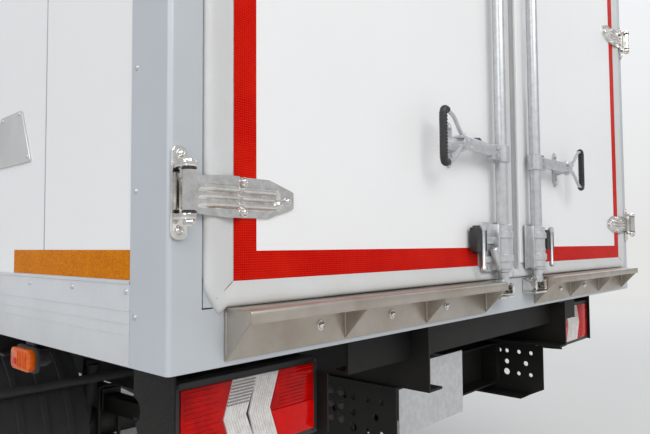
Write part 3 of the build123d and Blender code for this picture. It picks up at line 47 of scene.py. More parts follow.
rear_axle_y = front_axle_y + 3900
door_y = rear_axle_y + 1680
cab_back = 1700
body_front_y = front + cab_back + 180
axle_z = 383.5
panel_pitch = 1220.0
SIDES = ((1, "left"), (-1, "right"))
UP, OUT, BACK, AHEAD = (0, 0, 1), (1, 0, 0), (0, 1, 0), (0, -1, 0)
datum = [0.0, 0.0, 0.0]


# Working helpers

def measure_from(x=0.0, y=0.0, z=0.0):
    """The point that chunk, plate, turned, bent_bar and grid measure from."""
    datum[:] = x, y, z


def placed(point):
    """A point measured from the datum, in the truck's frame."""
    return [a + b for a, b in zip(point, datum)]


def clear():
    """Nothing selected."""
    for chosen in bpy.context.selected_objects:
        chosen.select_set(False)


def take(piece):
    """Only this piece selected and active."""
    clear()
    piece.select_set(True)
    bpy.context.view_layer.objects.active = piece


def edit(piece):
    """Edit mode on one piece, with all of it selected."""
    take(piece)
    bpy.ops.object.mode_set(mode="EDIT")
    bpy.ops.mesh.select_all(action="SELECT")


def rest():
    """Back to object mode."""
    bpy.ops.object.mode_set(mode="OBJECT")


def face_out():
    """All faces of the piece in edit mode turned outwards, then object mode."""
    bpy.ops.mesh.select_all(action="SELECT")
    bpy.ops.mesh.normals_make_consistent(inside=False)
    rest()


def flip(piece):
    """The piece's faces turned round."""
    edit(piece)
    bpy.ops.mesh.flip_normals()
    rest()


def outward(piece):
    """Doubles merged and all faces turned outwards."""
    edit(piece)
    bpy.ops.mesh.remove_doubles(threshold=0.00001)
    face_out()
    return piece


def added(name):
    """The object that was just added, named."""
    piece = bpy.context.object
    piece.name = name
    return piece


def settle(piece):
    """The piece's place goes into its mesh."""
    take(piece)
    bpy.ops.object.transform_apply(location=True, rotation=True, scale=True)


def modify(piece, kind, **settings):
    """A modifier with its settings, applied."""
    take(piece)
    made = piece.modifiers.new(kind, kind)
    for name, value in settings.items():
        setattr(made, name, value)
    bpy.ops.object.modifier_apply(modifier=made.name)
    return piece


def soften(piece, width, segments=2):
    """Edges sharper than 35 degrees are rounded by a width in millimetres."""
    return modify(piece, "BEVEL", width=width * MM, segments=segments, limit_method="ANGLE",
        angle_limit=radians(35), use_clamp_overlap=True)


def thicken(piece, gauge):
    """A sheet gets its wall, to its inner side."""
    return modify(piece, "SOLIDIFY", thickness=gauge * MM, offset=-1)


def pressed(piece, polygon, gauge):
    """A sheet on the door gets its wall, with its faces, as one polygon tells, turned to the rear."""
    edit(piece)
    face_out()
    if piece.data.polygons[polygon].normal.y < 0:
        flip(piece)
    return thicken(piece, gauge)


def chunk(name, low, high, edge=1.5, segments=2):
    """A bevelled block between two corners."""
    clear()
    low, high = placed(low), placed(high)
    bpy.ops.mesh.primitive_cube_add(size=1, location=[(a + b) / 2 * MM for a, b in zip(low, high)])
    piece = added(name)
    piece.scale = [abs(b - a) * MM for a, b in zip(low, high)]
    settle(piece)
    return soften(piece, edge, segments) if edge else piece


def oblong(low_a, low_b, high_a, high_b):
    """The corners of a rectangular outline."""
    return [(low_a, low_b), (high_a, low_b), (high_a, high_b), (low_a, high_b)]


def plate(name, axis, points, start, end, rounding=0.0, edge=0.0):
    """A flat outline carried along one axis: points are the two other coordinates, in x, y, z order."""
    clear()
    bpy.ops.mesh.primitive_circle_add(vertices=len(points), radius=1, fill_type="NGON")
    piece = added(name)
    for vertex, (a, b) in zip(piece.data.vertices, points):
        vertex.co = Vector(placed({"x": (start, a, b), "y": (a, start, b), "z": (a, b, start)}[axis])) * MM
    edit(piece)
    if rounding:
        bpy.ops.mesh.bevel(offset=rounding * MM, segments=4, affect="VERTICES")
        bpy.ops.mesh.select_all(action="SELECT")
    step = Vector([(end - start) * MM if axis == letter else 0 for letter in "xyz"])
    bpy.ops.mesh.extrude_region_move(TRANSFORM_OT_translate={"value": step})
    face_out()
    return soften(piece, edge) if edge else piece


def turned(name, origin, direction, steps, sides=24, edge=0.0):
    """A turned form: steps of (distance along, radius) from origin in a direction."""
    clear()
    along, radius = steps[0]
    bpy.ops.mesh.primitive_circle_add(vertices=sides, radius=radius * MM, fill_type="NGON",
        location=(0, 0, along * MM))
    piece = added(name)
    settle(piece)
    edit(piece)
    for next_along, next_radius in steps[1:]:
        bpy.ops.mesh.extrude_region_move(TRANSFORM_OT_translate={"value": (0, 0,
            (next_along - along) * MM)})
        ratio = next_radius / radius
        if abs(ratio - 1) > 1e-6:
            bpy.ops.transform.resize(value=(ratio, ratio, 1), center_override=(0, 0, next_along * MM))
        along, radius = next_along, next_radius
    face_out()
    piece.rotation_mode = "QUATERNION"
    piece.rotation_quaternion = Vector(direction).to_track_quat("Z", "Y")
    piece.location = Vector(placed(origin)) * MM
    settle(piece)
    return soften(piece, edge) if edge else piece


def bent_bar(name, points, radius, sides=6, smooth=True):
    """A round bar along points, its bends drawn smooth."""
    curve = bpy.data.curves.new(name, "CURVE")
    curve.dimensions = "3D"
    curve.bevel_depth = radius * MM
    curve.bevel_resolution = sides
    curve.use_fill_caps = True
    curve.resolution_u = 8
    spline = curve.splines.new("NURBS" if smooth else "POLY")
    spline.points.add(len(points) - 1)
    for point, place in zip(spline.points, points):
        point.co = (*[c * MM for c in placed(place)], 1)
    if smooth:
        spline.order_u = 3
        spline.use_endpoint_u = True
    piece = bpy.data.objects.new(name, curve)
    bpy.context.collection.objects.link(piece)
    take(piece)
    bpy.ops.object.convert(target="MESH")
    return outward(added(name))


def grid(name, columns, rows, place):
    """A sheet of columns by rows, each point put at place(u, v), u and v from 0 to 1."""
    clear()
    bpy.ops.mesh.primitive_grid_add(x_subdivisions=columns, y_subdivisions=rows, size=2)
    piece = added(name)
    for vertex in piece.data.vertices:
        vertex.co = Vector(placed(place((vertex.co.x + 1) / 2, (vertex.co.y + 1) / 2))) * MM
    return piece


def join(name, pieces):
    """Several pieces become one mesh."""
    take(pieces[0])
    for piece in pieces:
        piece.select_set(True)
    if len(pieces) > 1:
        bpy.ops.object.join()
    return added(name)


def copied(piece, change, name="copy"):
    """A copy with its own mesh, changed by a matrix."""
    made = piece.copy()
    made.data = piece.data.copy()
    made.name = name
    bpy.context.collection.objects.link(made)
    made.data.transform(change)
    return made


def mirrored(piece, name):
    """A copy on the other side of the truck."""
    made = copied(piece, Matrix.Scale(-1, 4, (1, 0, 0)), name)
    flip(made)
    return made


def row(piece, count, step):
    """A piece and its copies in a row, each a step in millimetres further."""
    return [piece] + [copied(piece, Matrix.Translation(Vector([axis * at for axis in step]) * MM))
        for at in range(1, count)]


def dress(piece, finish, body, slot=None, angle=40):
    """A finish, a body to ride on and smooth shading up to an angle; the slot is not used."""
    piece.data.materials.clear()
    piece.data.materials.append(finish)
    take(piece)
    if angle:
        bpy.ops.object.shade_smooth_by_angle(angle=radians(angle))
    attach(piece, body)
    return piece


def both(piece, piece_finish, body, slot=None, angle=40):
    """A left piece and its mirror image, each dressed; a body with left in its name changes side too."""
    twin = mirrored(piece, piece.name.replace("left", "right"))
    dress(piece, piece_finish, body, slot, angle)
    dress(twin, piece_finish, body.replace("left", "right"), slot, angle)
    return piece, twin


def rounded(points, radius, steps=5):
    """The points of a closed outline with its corners rounded."""
    made = []
    for at, corner in enumerate(points):
        corner = Vector(corner)
        to_last = (Vector(points[at - 1]) - corner).normalized()
        to_next = (Vector(points[(at + 1) % len(points)]) - corner).normalized()
        half = to_last.angle(to_next) / 2
        start = corner + to_last * (radius / tan(half))
        end = corner + to_next * (radius / tan(half))
        centre = corner + (to_last + to_next).normalized() * (radius / sin(half))
        made += [centre + (start.lerp(end, step / steps) - centre).normalized() * radius
            for step in range(steps + 1)]
    return made


def trim_loop(name, outline, rounding, radius, place):
    """A round trim along a closed outline, each of its points put on the truck by place."""
    loop = rounded(outline, rounding)
    line = []
    for start, end in zip(loop, loop[1:] + loop[:1]):
        count = max(1, int((end - start).length / 60))
        line += [start.lerp(end, step / count) for step in range(count)]
    return bent_bar(name, [place(*point) for point in line + line[:1]], radius, 3, False)


def between(table, at):
    """The value at a place in a table of (place, value) steps."""
    for (start, a), (end, b) in zip(table, table[1:]):
        if at <= end:
            return a + (b - a) * (at - start) / (end - start)
    return table[-1][1]


def screw_head(name, place, direction, radius, height=4.0):
    """A domed head with a washer under it and a round hollow in its top."""
    washer = turned("washer", place, direction, [(0, radius * 1.35), (1.2, radius * 1.35)], 20, edge=0.3)
    dome = [(1.2, radius), (height * 0.5, radius * 0.98), (height * 0.85, radius * 0.78),
        (height, radius * 0.45), (height - 0.8, radius * 0.36), (height - 1.4, radius * 0.3)]
    return join(name, [washer, turned("head", place, direction, dome, 16)])


def nut(place, direction, across, height):
    """A six-sided nut with its faces chamfered."""
    return turned("nut", place, direction, [(0, across * 0.53), (height * 0.12, across * 0.577),
        (height * 0.86, across * 0.577), (height, across * 0.5), (height, across * 0.3),
        (height + 2.5, across * 0.28)], 6)


# Finishes

def node_tools(tree):
    """Two functions for a node tree: add a node, and fill inputs with values or other nodes' outputs."""
    def fill(node, inputs):
        for name, value in inputs.items():
            if isinstance(value, bpy.types.NodeSocket):
                tree.links.new(value, node.inputs[name])
            else:
                node.inputs[name].default_value = value
        return node

    def add(kind, inputs=None, **settings):
        node = tree.nodes.new("ShaderNode" + kind)
        for name, value in settings.items():
            setattr(node, name, value)
        return fill(node, inputs or {})

    return add, fill


def blank(name):
    """A new material with its shader and the tools for its nodes."""
    made = bpy.data.materials.new(name)
    made.use_nodes = True
    return made, made.node_tree.nodes["Principled BSDF"], *node_tools(made.node_tree)


def finish(name, colour, rough, metal=0.0, second=None, patch=4.0, blend=0.5, spread=0.1, grain=300,
        depth=0.0, detail=4.0, coat=0.0, sheen=0.0, transmission=0.0, ior=1.5, shine=0.5):
    """A finish with patches of a second colour, uneven gloss and a fine grain.

    patch and grain are lumps to the metre, grain for each axis if it is drawn out, and depth is the
    grain's height in millimetres.
    """
    made, shader, add, fill = blank(name)
    place = add("TexCoord").outputs["Object"]
    patches = add("TexNoise", {"Scale": patch, "Detail": detail, "Roughness": 0.6, "Vector": place})
    ramp = add("ValToRGB", {"Fac": patches.outputs["Fac"]})
    tints = (second or [c * 0.88 for c in colour], colour)
    for stop, way, tint in zip(ramp.color_ramp.elements, (-1, 1), tints):
        stop.position = 0.5 + way * (0.3 * (1 - blend) + 0.05)
        stop.color = (*tint, 1)
    scale = grain if isinstance(grain, tuple) else (grain, grain, grain)
    stretch = add("Mapping", {"Scale": scale, "Vector": place})
    fine = add("TexNoise", {"Scale": 1.0, "Detail": 3.0,
        "Vector": stretch.outputs["Vector"]}).outputs["Fac"]
    gloss = add("MapRange", {"To Min": max(0.02, rough - spread), "To Max": min(1.0, rough + spread),
        "Value": fine})
    fill(shader, {"Metallic": metal, "IOR": ior, "Specular IOR Level": shine, "Coat Weight": coat,
        "Coat Roughness": 0.08, "Sheen Weight": sheen, "Transmission Weight": transmission,
        "Base Color": ramp.outputs["Color"], "Roughness": gloss.outputs["Result"]})
    if depth:
        bump = add("Bump", {"Strength": 0.6, "Distance": depth * MM, "Height": fine})
        fill(shader, {"Normal": bump.outputs["Normal"]})
    return made


def tape_finish(name, dark, bright, glow, turn):
    """Prismatic tape: small cells in rows, brighter lines between them, and worn patches."""
    made, shader, add, fill = blank(name)
    place = add("TexCoord").outputs["Object"]
    slant = add("Mapping", {"Rotation": turn, "Vector": place})
    cells = add("TexVoronoi", {"Scale": 240, "Randomness": 0.3, "Vector": slant.outputs["Vector"]},
        feature="DISTANCE_TO_EDGE")
    edge = add("MapRange", {"From Min": 0.04, "From Max": 0.30,
        "Value": cells.outputs["Distance"]}).outputs["Result"]
    patches = add("TexNoise", {"Scale": 14, "Detail": 5, "Vector": place})
    hue = add("Mix", {"A": (*bright, 1), "B": (*dark, 1), "Factor": edge}, data_type="RGBA")
    amount = add("MapRange", {"From Min": 0.45, "From Max": 0.75, "To Max": 0.55,
        "Value": patches.outputs["Fac"]})
    worn = add("Mix", {"A": hue.outputs["Result"], "B": (*glow, 1), "Factor": amount.outputs["Result"]},
        data_type="RGBA")
    bump = add("Bump", {"Strength": 0.3, "Distance": 0.0002, "Height": edge})
    fill(shader, {"Roughness": 0.4, "Specular IOR Level": 0.04, "Base Color": worn.outputs["Result"],
        "Normal": bump.outputs["Normal"]})
    return made


door_white = finish("door_white", (0.83, 0.83, 0.84), 0.3, second=(0.80, 0.80, 0.81), patch=1.2,
    spread=0.05, grain=60, depth=0.15, coat=0.15)
side_white = finish("side_white", (0.79, 0.79, 0.795), 0.32, second=(0.76, 0.76, 0.765), patch=0.9,
    spread=0.06, grain=40, depth=0.2, coat=0.15)
rail_alloy = finish("rail_alloy", (0.61, 0.625, 0.645), 0.42, metal=0.25, second=(0.54, 0.55, 0.57),
    patch=5, grain=(160, 160, 4), depth=0.12, spread=0.14)
post_alloy = finish("post_alloy", (0.51, 0.54, 0.57), 0.45, metal=0.2, second=(0.465, 0.495, 0.525),
    patch=2.5, grain=(700, 700, 10), depth=0.08, spread=0.08)
lip_rubber = finish("lip_rubber", (0.60, 0.62, 0.635), 0.48, second=(0.55, 0.545, 0.53), patch=9, blend=0.2,
    grain=220, depth=0.25, spread=0.1)
bright_steel = finish("bright_steel", (0.88, 0.86, 0.83), 0.1, metal=1.0, second=(0.64, 0.61, 0.575),
    patch=45, grain=(30, 900, 900), depth=0.03, spread=0.07)
brushed_steel = finish("brushed_steel", (0.52, 0.485, 0.44), 0.36, metal=0.85, second=(0.36, 0.305, 0.25),
    patch=9, blend=0.25, grain=(8, 1100, 1100), depth=0.06, spread=0.12, detail=6)
plain_steel = finish("plain_steel", (0.70, 0.70, 0.69), 0.4, metal=0.7, second=(0.62, 0.62, 0.61), patch=6,
    grain=(1100, 8, 1100), depth=0.05, spread=0.08)
zinc = finish("zinc", (0.66, 0.67, 0.68), 0.34, metal=0.75, second=(0.50, 0.51, 0.52), patch=60, blend=0.3,
    grain=500, depth=0.08, spread=0.12)
# The frame's black paint, made darker than the paint itself as painted shade for the shade under the body
underbody_black = finish("underbody_black", (0.008, 0.008, 0.008), 0.55, second=(0.018, 0.016, 0.014),
    patch=7, blend=0.3, grain=260, depth=0.2, spread=0.15, shine=0.22)
cast_black = finish("cast_black", (0.02, 0.02, 0.02), 0.6, second=(0.05, 0.043, 0.038), patch=18, blend=0.3,
    grain=420, depth=0.5, spread=0.15)
engine_grey = finish("engine_grey", (0.16, 0.16, 0.165), 0.6, metal=0.3, second=(0.09, 0.08, 0.07),
    patch=12, grain=320, depth=0.5, spread=0.15)
heat_steel = finish("heat_steel", (0.34, 0.32, 0.30), 0.5, metal=0.8, second=(0.22, 0.14, 0.09), patch=8,
    blend=0.2, depth=0.3, spread=0.15)
tank_alloy = finish("tank_alloy", (0.62, 0.63, 0.65), 0.3, metal=0.9, second=(0.50, 0.51, 0.53), patch=6,
    grain=(700, 14, 700), depth=0.05, spread=0.1)
black_mould = finish("black_mould", (0.022, 0.022, 0.024), 0.55, second=(0.035, 0.034, 0.034), patch=10,
    grain=700, depth=0.35, spread=0.12)
grip_black = finish("grip_black", (0.015, 0.015, 0.016), 0.42, second=(0.03, 0.03, 0.03), patch=40,
    grain=500, depth=0.2, spread=0.1)
cab_paint = finish("cab_paint", (0.80, 0.81, 0.82), 0.22, second=(0.78, 0.79, 0.80), patch=1.0, spread=0.04,
    grain=140, depth=0.03, coat=0.6)
dark_glass = finish("dark_glass", (0.50, 0.58, 0.57), 0.05, second=(0.46, 0.54, 0.53), patch=1.5,
    spread=0.02, transmission=0.96, ior=1.45)
lamp_cover = finish("lamp_cover", (0.86, 0.88, 0.90), 0.08, second=(0.80, 0.82, 0.84), patch=5, spread=0.03,
    transmission=0.55, ior=1.45)
dash_grain = finish("dash_grain", (0.055, 0.055, 0.06), 0.6, second=(0.04, 0.04, 0.043), patch=6, grain=900,
    depth=0.4, spread=0.1)
seat_cloth = finish("seat_cloth", (0.075, 0.08, 0.095), 0.9, second=(0.05, 0.053, 0.062), patch=30,
    grain=1100, depth=0.5, sheen=0.3, spread=0.05)
tyre_rubber = finish("tyre_rubber", (0.022, 0.022, 0.022), 0.75, second=(0.045, 0.042, 0.039), patch=9,
    blend=0.2, grain=400, depth=0.3, spread=0.1)
rim_silver = finish("rim_silver", (0.52, 0.53, 0.54), 0.36, metal=0.5, second=(0.44, 0.43, 0.42), patch=14,
    blend=0.3, grain=500, depth=0.1, spread=0.1)
unit_white = finish("unit_white", (0.78, 0.79, 0.79), 0.35, second=(0.74, 0.74, 0.73), patch=2, spread=0.06,
    grain=180, depth=0.12, coat=0.2)
floor_alloy = finish("floor_alloy", (0.5, 0.51, 0.53), 0.42, metal=0.7, second=(0.42, 0.43, 0.44), patch=3,
    grain=(300, 12, 300), depth=0.2)
lens_red = finish("lens_red", (0.62, 0.002, 0.001), 0.12, second=(0.36, 0.001, 0.001), patch=25,
    spread=0.04, coat=0.12, shine=0.12)
reflector_red = finish("reflector_red", (0.66, 0.003, 0.002), 0.2, second=(0.56, 0.002, 0.001), patch=60,
    grain=500, depth=0.1, spread=0.06, coat=0.12, shine=0.15)
lens_clear = finish("lens_clear", (0.90, 0.88, 0.86), 0.12, second=(0.60, 0.57, 0.55), patch=90, blend=0.1,
    spread=0.05, coat=0.5)
lens_amber = finish("lens_amber", (0.72, 0.12, 0.002), 0.2, second=(0.48, 0.06, 0.001), patch=60,
    spread=0.05, coat=0.1, shine=0.2)
tape_red = tape_finish("tape_red", (0.24, 0.001, 0.0005), (0.72, 0.009, 0.002), (0.64, 0.016, 0.004),
    (0, 0, 0))
tape_amber = tape_finish("tape_amber", (0.30, 0.07, 0.0), (0.64, 0.20, 0.001), (0.68, 0.24, 0.002),
    (0.785, 0, 0))
seam_dark = finish("seam_dark", (0.16, 0.15, 0.14), 0.7, patch=50)
grey_seal = finish("grey_seal", (0.34, 0.345, 0.355), 0.55, second=(0.28, 0.28, 0.29), patch=12, grain=400,
    depth=0.2)
lens_grid = finish("lens_grid", (0.30, 0.28, 0.27), 0.15, second=(0.20, 0.17, 0.155), patch=120, blend=0.1,
    spread=0.05, coat=0.5)
chrome = finish("chrome", (0.80, 0.80, 0.80), 0.08, metal=1.0, second=(0.74, 0.74, 0.75), patch=20,
    spread=0.03)
mirror_glass = finish("mirror_glass", (0.82, 0.85, 0.86), 0.03, metal=1.0, second=(0.78, 0.81, 0.83),
    patch=2, spread=0.01)
dial_face = finish("dial_face", (0.02, 0.02, 0.025), 0.12, second=(0.03, 0.03, 0.035), patch=30, coat=0.6)
lamp_glass = finish("lamp_glass", (0.9, 0.92, 0.93), 0.05, second=(0.86, 0.88, 0.9), patch=4, spread=0.02,
    transmission=0.92, ior=1.3)

# Which nodes wear which finish; a star stands for left and right
WORN = (
    (underbody_black, "chassis_frame sub_frame tail_lamp_boxes"), (engine_grey, "drive_line"),
    (cast_black, "front_axle rear_axle leaf_springs dampers tie_rod knuckle_*"), (heat_steel, "exhaust"),
    (black_mould, "battery_box mudguards cooling_grille cab_trim mirrors"), (tank_alloy, "fuel_tank"),
    (rail_alloy, "side_guards body_mouldings"), (lens_red, "tail_lamp_lenses"),
    (lens_amber, "side_markers"),
    (zinc, "plate_carrier rear_door_*_fittings"), (cab_paint, "front_bumper cab_shell cab_door_*"),
    (side_white, "side_wall_* front_wall roof"), (floor_alloy, "body_floor"), (post_alloy, "rear_portal"),
    (brushed_steel, "rear_steelwork"), (unit_white, "cooling_unit evaporator"), (lamp_cover, "headlamps"),
    (dark_glass, "cab_glass cab_door_*_glass"), (dash_grain, "cab_interior steering_wheel"),
    (seat_cloth, "seats"), (door_white, "rear_door_*"), (lip_rubber, "rear_door_*_gasket"),
    (tyre_rubber, "front_tyre_* rear_tyres_*"), (rim_silver, "front_rim_* rear_rims_*"),
)
for worn, names in WORN:
    for name in names.split():
        for node_name in {name.replace("*", side_name) for _, side_name in SIDES}:
            for material_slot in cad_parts[node_name].material_slots:
                material_slot.material = worn


# Rear doors: tape, gasket and corner plates, measured from the leaf's face

measure_from(y=door_y)
tape_z, tape_top_z = 1070.0, 3040.0
tape_width = 50
for side, side_name in SIDES:
    outer = sorted((side * 1049, side * 999))
    run = sorted((side * 999, 202 if side > 0 else -170))
    strips = [chunk("tape", (x[0], -0.2, low), (x[1], 0.6, high), 0)
        for x, low, high in ((outer, tape_z, tape_top_z), (run, tape_z, tape_z + tape_width),
        (run, tape_top_z - tape_width, tape_top_z))]
    dress(join(f"door_tape_{side_name}", strips), tape_red, f"rear_door_{side_name}", angle=0)

# The lip of the gasket: (distance in from its outer edge, height over the leaf's face)
LIP = [(0, -8), (0, 1.5), (2, 5), (6, 7.5), (12, 8.5), (20, 8), (30, 6.4), (40, 4.2), (50, 2.2), (57, 1.1),
    (59.5, 0.7), (60.5, -0.6)]


def lip_path(inset):
    """The gasket's outline on the left door, inset from its outer edge, from the foot round to the head."""
    outer_x = 1110.0 - inset
    foot_z = 1029.3 + inset * 40.7 / 60
    head_z = 3080.7 - inset * 40.7 / 60
    bend = max(0.5, 42 - inset * 0.9)
    path = [(x, foot_z) for x in (-4.0, 300.0, 700.0)]
    for centre_z, turn in ((foot_z + bend, -90), (head_z - bend, 0)):
        for step in range(11):
            angle = radians(turn + 9 * step)
            path.append((outer_x - bend + bend * cos(angle), centre_z + bend * sin(angle)))
        if turn < 0:
            path += [(outer_x, z) for z in (1500.0, 2000.0, 2600.0)]
    return path + [(x, head_z) for x in (700.0, 300.0, -4.0)]


def gasket_lip():
    """The swept lip of the left door, its foot corner drawn out to a small tip."""
    paths = [lip_path(inset) for inset, _ in LIP]
    count = len(paths[0])

    def place(u, v):
        along = round(u * (count - 1))
        across = round(v * (len(LIP) - 1))
        x, z = paths[across][along]
        inset, height = LIP[across]
        tip = max(0.0, 1 - inset / 24) * max(0.0, 1 - abs(along - 5.3) / 3) ** 1.4
        return (x - 2 * tip, height, z - 17 * tip)

    return pressed(grid("gasket_lip", count - 1, len(LIP) - 1, place), count, 2.5)


left_lip = gasket_lip()
right_gasket = [mirrored(left_lip, "right_lip"), chunk("strip", (-47, -26, 1032), (-39, 9, 3078), 3, 3)]
left_gasket = [left_lip, chunk("strip", (-6, -31, 1032), (26, 7, 3078), 3, 3),
    turned("bead", (28, 3, 1034), UP, [(0, 6), (2042, 6)], 16)]
for side_name, pieces in (("left", left_gasket), ("right", right_gasket)):
    gasket = join(f"door_gasket_{side_name}", pieces)
    dress(gasket, lip_rubber, f"rear_door_{side_name}", "gasket", 50)
    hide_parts(f"rear_door_{side_name}_gasket")
dress(chunk("seal_fold", (-38, -32, 1034), (-13, 5, 3076), 5, 4), grey_seal, "rear_door_right", "gasket")
mitre = [(1090.0, 8.2, 13), (1078.0, 6.2, 21), (1064.0, 3.2, 30), (1052.0, 1.2, 38)]
seams = [bent_bar("mitre", [(x, y, corner_z + up * rise) for x, y, rise in mitre], 0.6, 2)
    for corner_z, up in ((1031.0, 1), (3079.0, -1))]
both(join("gasket_mitre_left", seams), seam_dark, "rear_door_left")

# Grey corner plates on each door, behind the rounded corners of its gasket
corners = [plate("corner", "y", [(1110, edge_z), (1110, edge_z + 46 * up), (1086, edge_z + 24 * up),
    (1064, edge_z)], -8, -1.0) for edge_z, up in ((1029.5, 1), (3080.5, -1))]
both(join("corner_plates_left", corners), post_alloy, "rear_door_left", angle=0)
meeting_edge = [chunk("flange", (-128, -0.5, 1072), (-45, 4, 3038)),
    chunk("rib", (-62, -0.5, 1072), (-50, 8, 3038), 3, 3)]
dress(join("door_edge_right", meeting_edge), door_white, "rear_door_right", "body_panel")


# Hinges of the left door, mirrored for the right, the lowest measured from the middle of its strap

measure_from(y=door_y, z=1214.0)
hinge_x, hinge_y = 1158.0, 29
hinge_pitch = 817


def hinge_strap():
    """The pressed strap: stepped over the gasket, with a hairpin rib that ends near its tip."""
    upper = [(911, 11), (914, 13), (971, 31), (1069, 31), (1128, 27), (1149, 24)]
    lower = [(911, -17), (914, -19), (975, -37.5), (1069, -39), (1128, -35), (1149, -29)]
    rise = [(911, 0.4), (1034, 0.4), (1048, 8.8), (1130, 9.8), (1139, 12), (1149, 19)]

    def place(u, v):
        x = 911 + u * (1149 - 911)
        z = between(lower, x) + v * (between(upper, x) - between(lower, x))
        fade = min(1.0, max(0.0, (1131 - x) / 26)) * (0.8 if abs(x - 1044) < 4 else 1)
        apart = hypot(max(0.0, 961 - x), z + 4.5)
        rib = 0.0
        if apart < 5:
            rib = 4.5 * cos(apart / 5 * pi / 2) ** 0.6
        elif 6.5 < apart < 19.5:
            rib = 5.5 * max(0.0, sin((apart - 6.5) / 13 * pi)) ** 0.7
        return (x, between(rise, x) + rib * fade + 3.4, z)

    return pressed(grid("strap", 80, 64, place), 40, 3.4)


def on_pin(z, steps, sides, edge=0.0):
    """A turned form on the hinge's pin."""
    return turned("on_pin", (hinge_x, hinge_y, z), UP, steps, sides, edge)


leaf = [hinge_strap(), on_pin(-32, [(0, 9.8), (1.0, 10.7), (62.5, 10.7), (63.5, 9.8)], 36)]
leaf += [screw_head("head", place, BACK, 6.2, 6)
    for place in ((1029, 3.9, 23.5), (1029, 3.9, -28.5), (927, 3.8, -5))]
base = [plate("base", "y", [(1173, 70), (1144, 70), (1144, -76), (1173, -76)], 0.2, 5.5, 11, 1.2)]
ear = [(1145, 3), (1171, 3), (1171, hinge_y + 3), (1166, hinge_y + 11), (1151, hinge_y + 11),
    (1146, hinge_y + 3)]
base += [plate("ear", "z", ear, low, low + 9, 5, 1.2) for low in (-45, 35.5)]
base += [nut((hinge_x, hinge_y, -45), (0, 0, -1), 17, 8),
    on_pin(44.5, [(0, 9), (2, 8.6), (3.5, 6), (4, 2)], 24)]
base += [screw_head("bolt", (x, 5.5, up), BACK, 6.4, 5) for x, up in ((1156, 58), (1160, -62))]
rings = [on_pin(low, [(0, 11.6), (2.4, 11.6)], 28, 0.4) for low in (-34.8, 31.9)]
for name, pieces, metal, body, slot in (("leaves", leaf, bright_steel, "rear_door_left", "stainless"),
        ("bases", base, bright_steel, "chassis", "stainless"),
        ("rings", rings, grip_black, "rear_door_left", None)):
    lowest = join(name, pieces)
    both(join(f"hinge_{name}_left", row(lowest, 3, (0, 0, hinge_pitch))), metal, body, slot)


# Lock gear of the left door, mirrored for the right

measure_from(y=door_y)
rod_x, rod_y = 116.0, 33.0
handle_z = 1388.0


def cam_box(foot_z, up):
    """The cast box at one end of a lock rod: base, ribbed cover over the rod, lug, tail and cam."""
    boxes = [("base", (76, 202), (11, 15.5), (0, 137), 2, 2),
        ("cheek", (80, 89), (12, 40), (4, 132), 2.5, 2), ("cheek", (143, 152), (12, 40), (4, 132), 2.5, 2),
        ("wing", (150, 200), (14, 27), (75, 97), 5, 3), ("wing", (150, 196), (14, 23), (24, 44), 5, 3),
        ("cam", (rod_x - 22, rod_x + 24), (24, 43), (-39, -22), 4, 3)]
    pieces = []
    for name, x, y, z, edge, segments in boxes:
        low, high = sorted(foot_z + up * value for value in z)
        pieces.append(chunk(name, (x[0], y[0], low), (x[1], y[1], high), edge, segments))
    pieces.append(turned("cover", (rod_x, rod_y - 3, foot_z + up * 6), (0, 0, up),
        [(0, 25), (2, 28), (20, 28), (22, 31.5), (40, 31.5), (42, 27), (86, 27), (88, 31.5), (104, 31.5),
        (106, 28), (122, 28), (126, 24)], 28))
    pieces.append(turned("lug", (166, 30, foot_z + up * 66), (-0.45, 0, -up),
        [(0, 8), (4, 11), (48, 11), (56, 7)], 20))
    pieces.append(turned("tail", (rod_x, rod_y, foot_z + up * 10), (0, 0, -up),
        [(0, 20), (10, 20), (14, 15), (46, 15), (50, 12)], 24))
    pieces += [nut((x, 15.5, foot_z + up * z), BACK, 13, 6) for x in (188, 88) for z in (120, 12)]
    return pieces


lock_gear = [turned("rod", (rod_x, rod_y, 1090), UP, [(0, 17), (1930, 17)], 28), *cam_box(1053, 1),
    *cam_box(3057, -1)]
for guide_z in (2050, 2620):
    lock_gear += [chunk("foot", (rod_x - 38, 0.3, guide_z), (rod_x + 38, 5, guide_z + 36), 2),
        chunk("stem", (rod_x - 22, 3, guide_z + 3), (rod_x + 22, rod_y, guide_z + 33), 2),
        turned("saddle", (rod_x, rod_y, guide_z + 2), UP, [(0, 21), (2, 23), (30, 23), (32, 21)], 24)]
    lock_gear += [nut((rod_x + shift, 5, guide_z + 18), BACK, 12, 6) for shift in (-30, 30)]
lock_gear += [turned("latch_pin", (231, 33, 1172), (0, 0, -1),
    [(0, 5), (100, 5), (104, 8), (112, 8), (116, 4)], 16),
    turned("latch_head", (231, 33, 1166), UP, [(0, 9), (14, 9), (18, 5)], 16)]
pads = [chunk("pad", (204, 8, 1110), (261, 31, 1174), 3),
    chunk("pad_back", (202, -0.2, 1104), (230, 14, 1180), 3)]

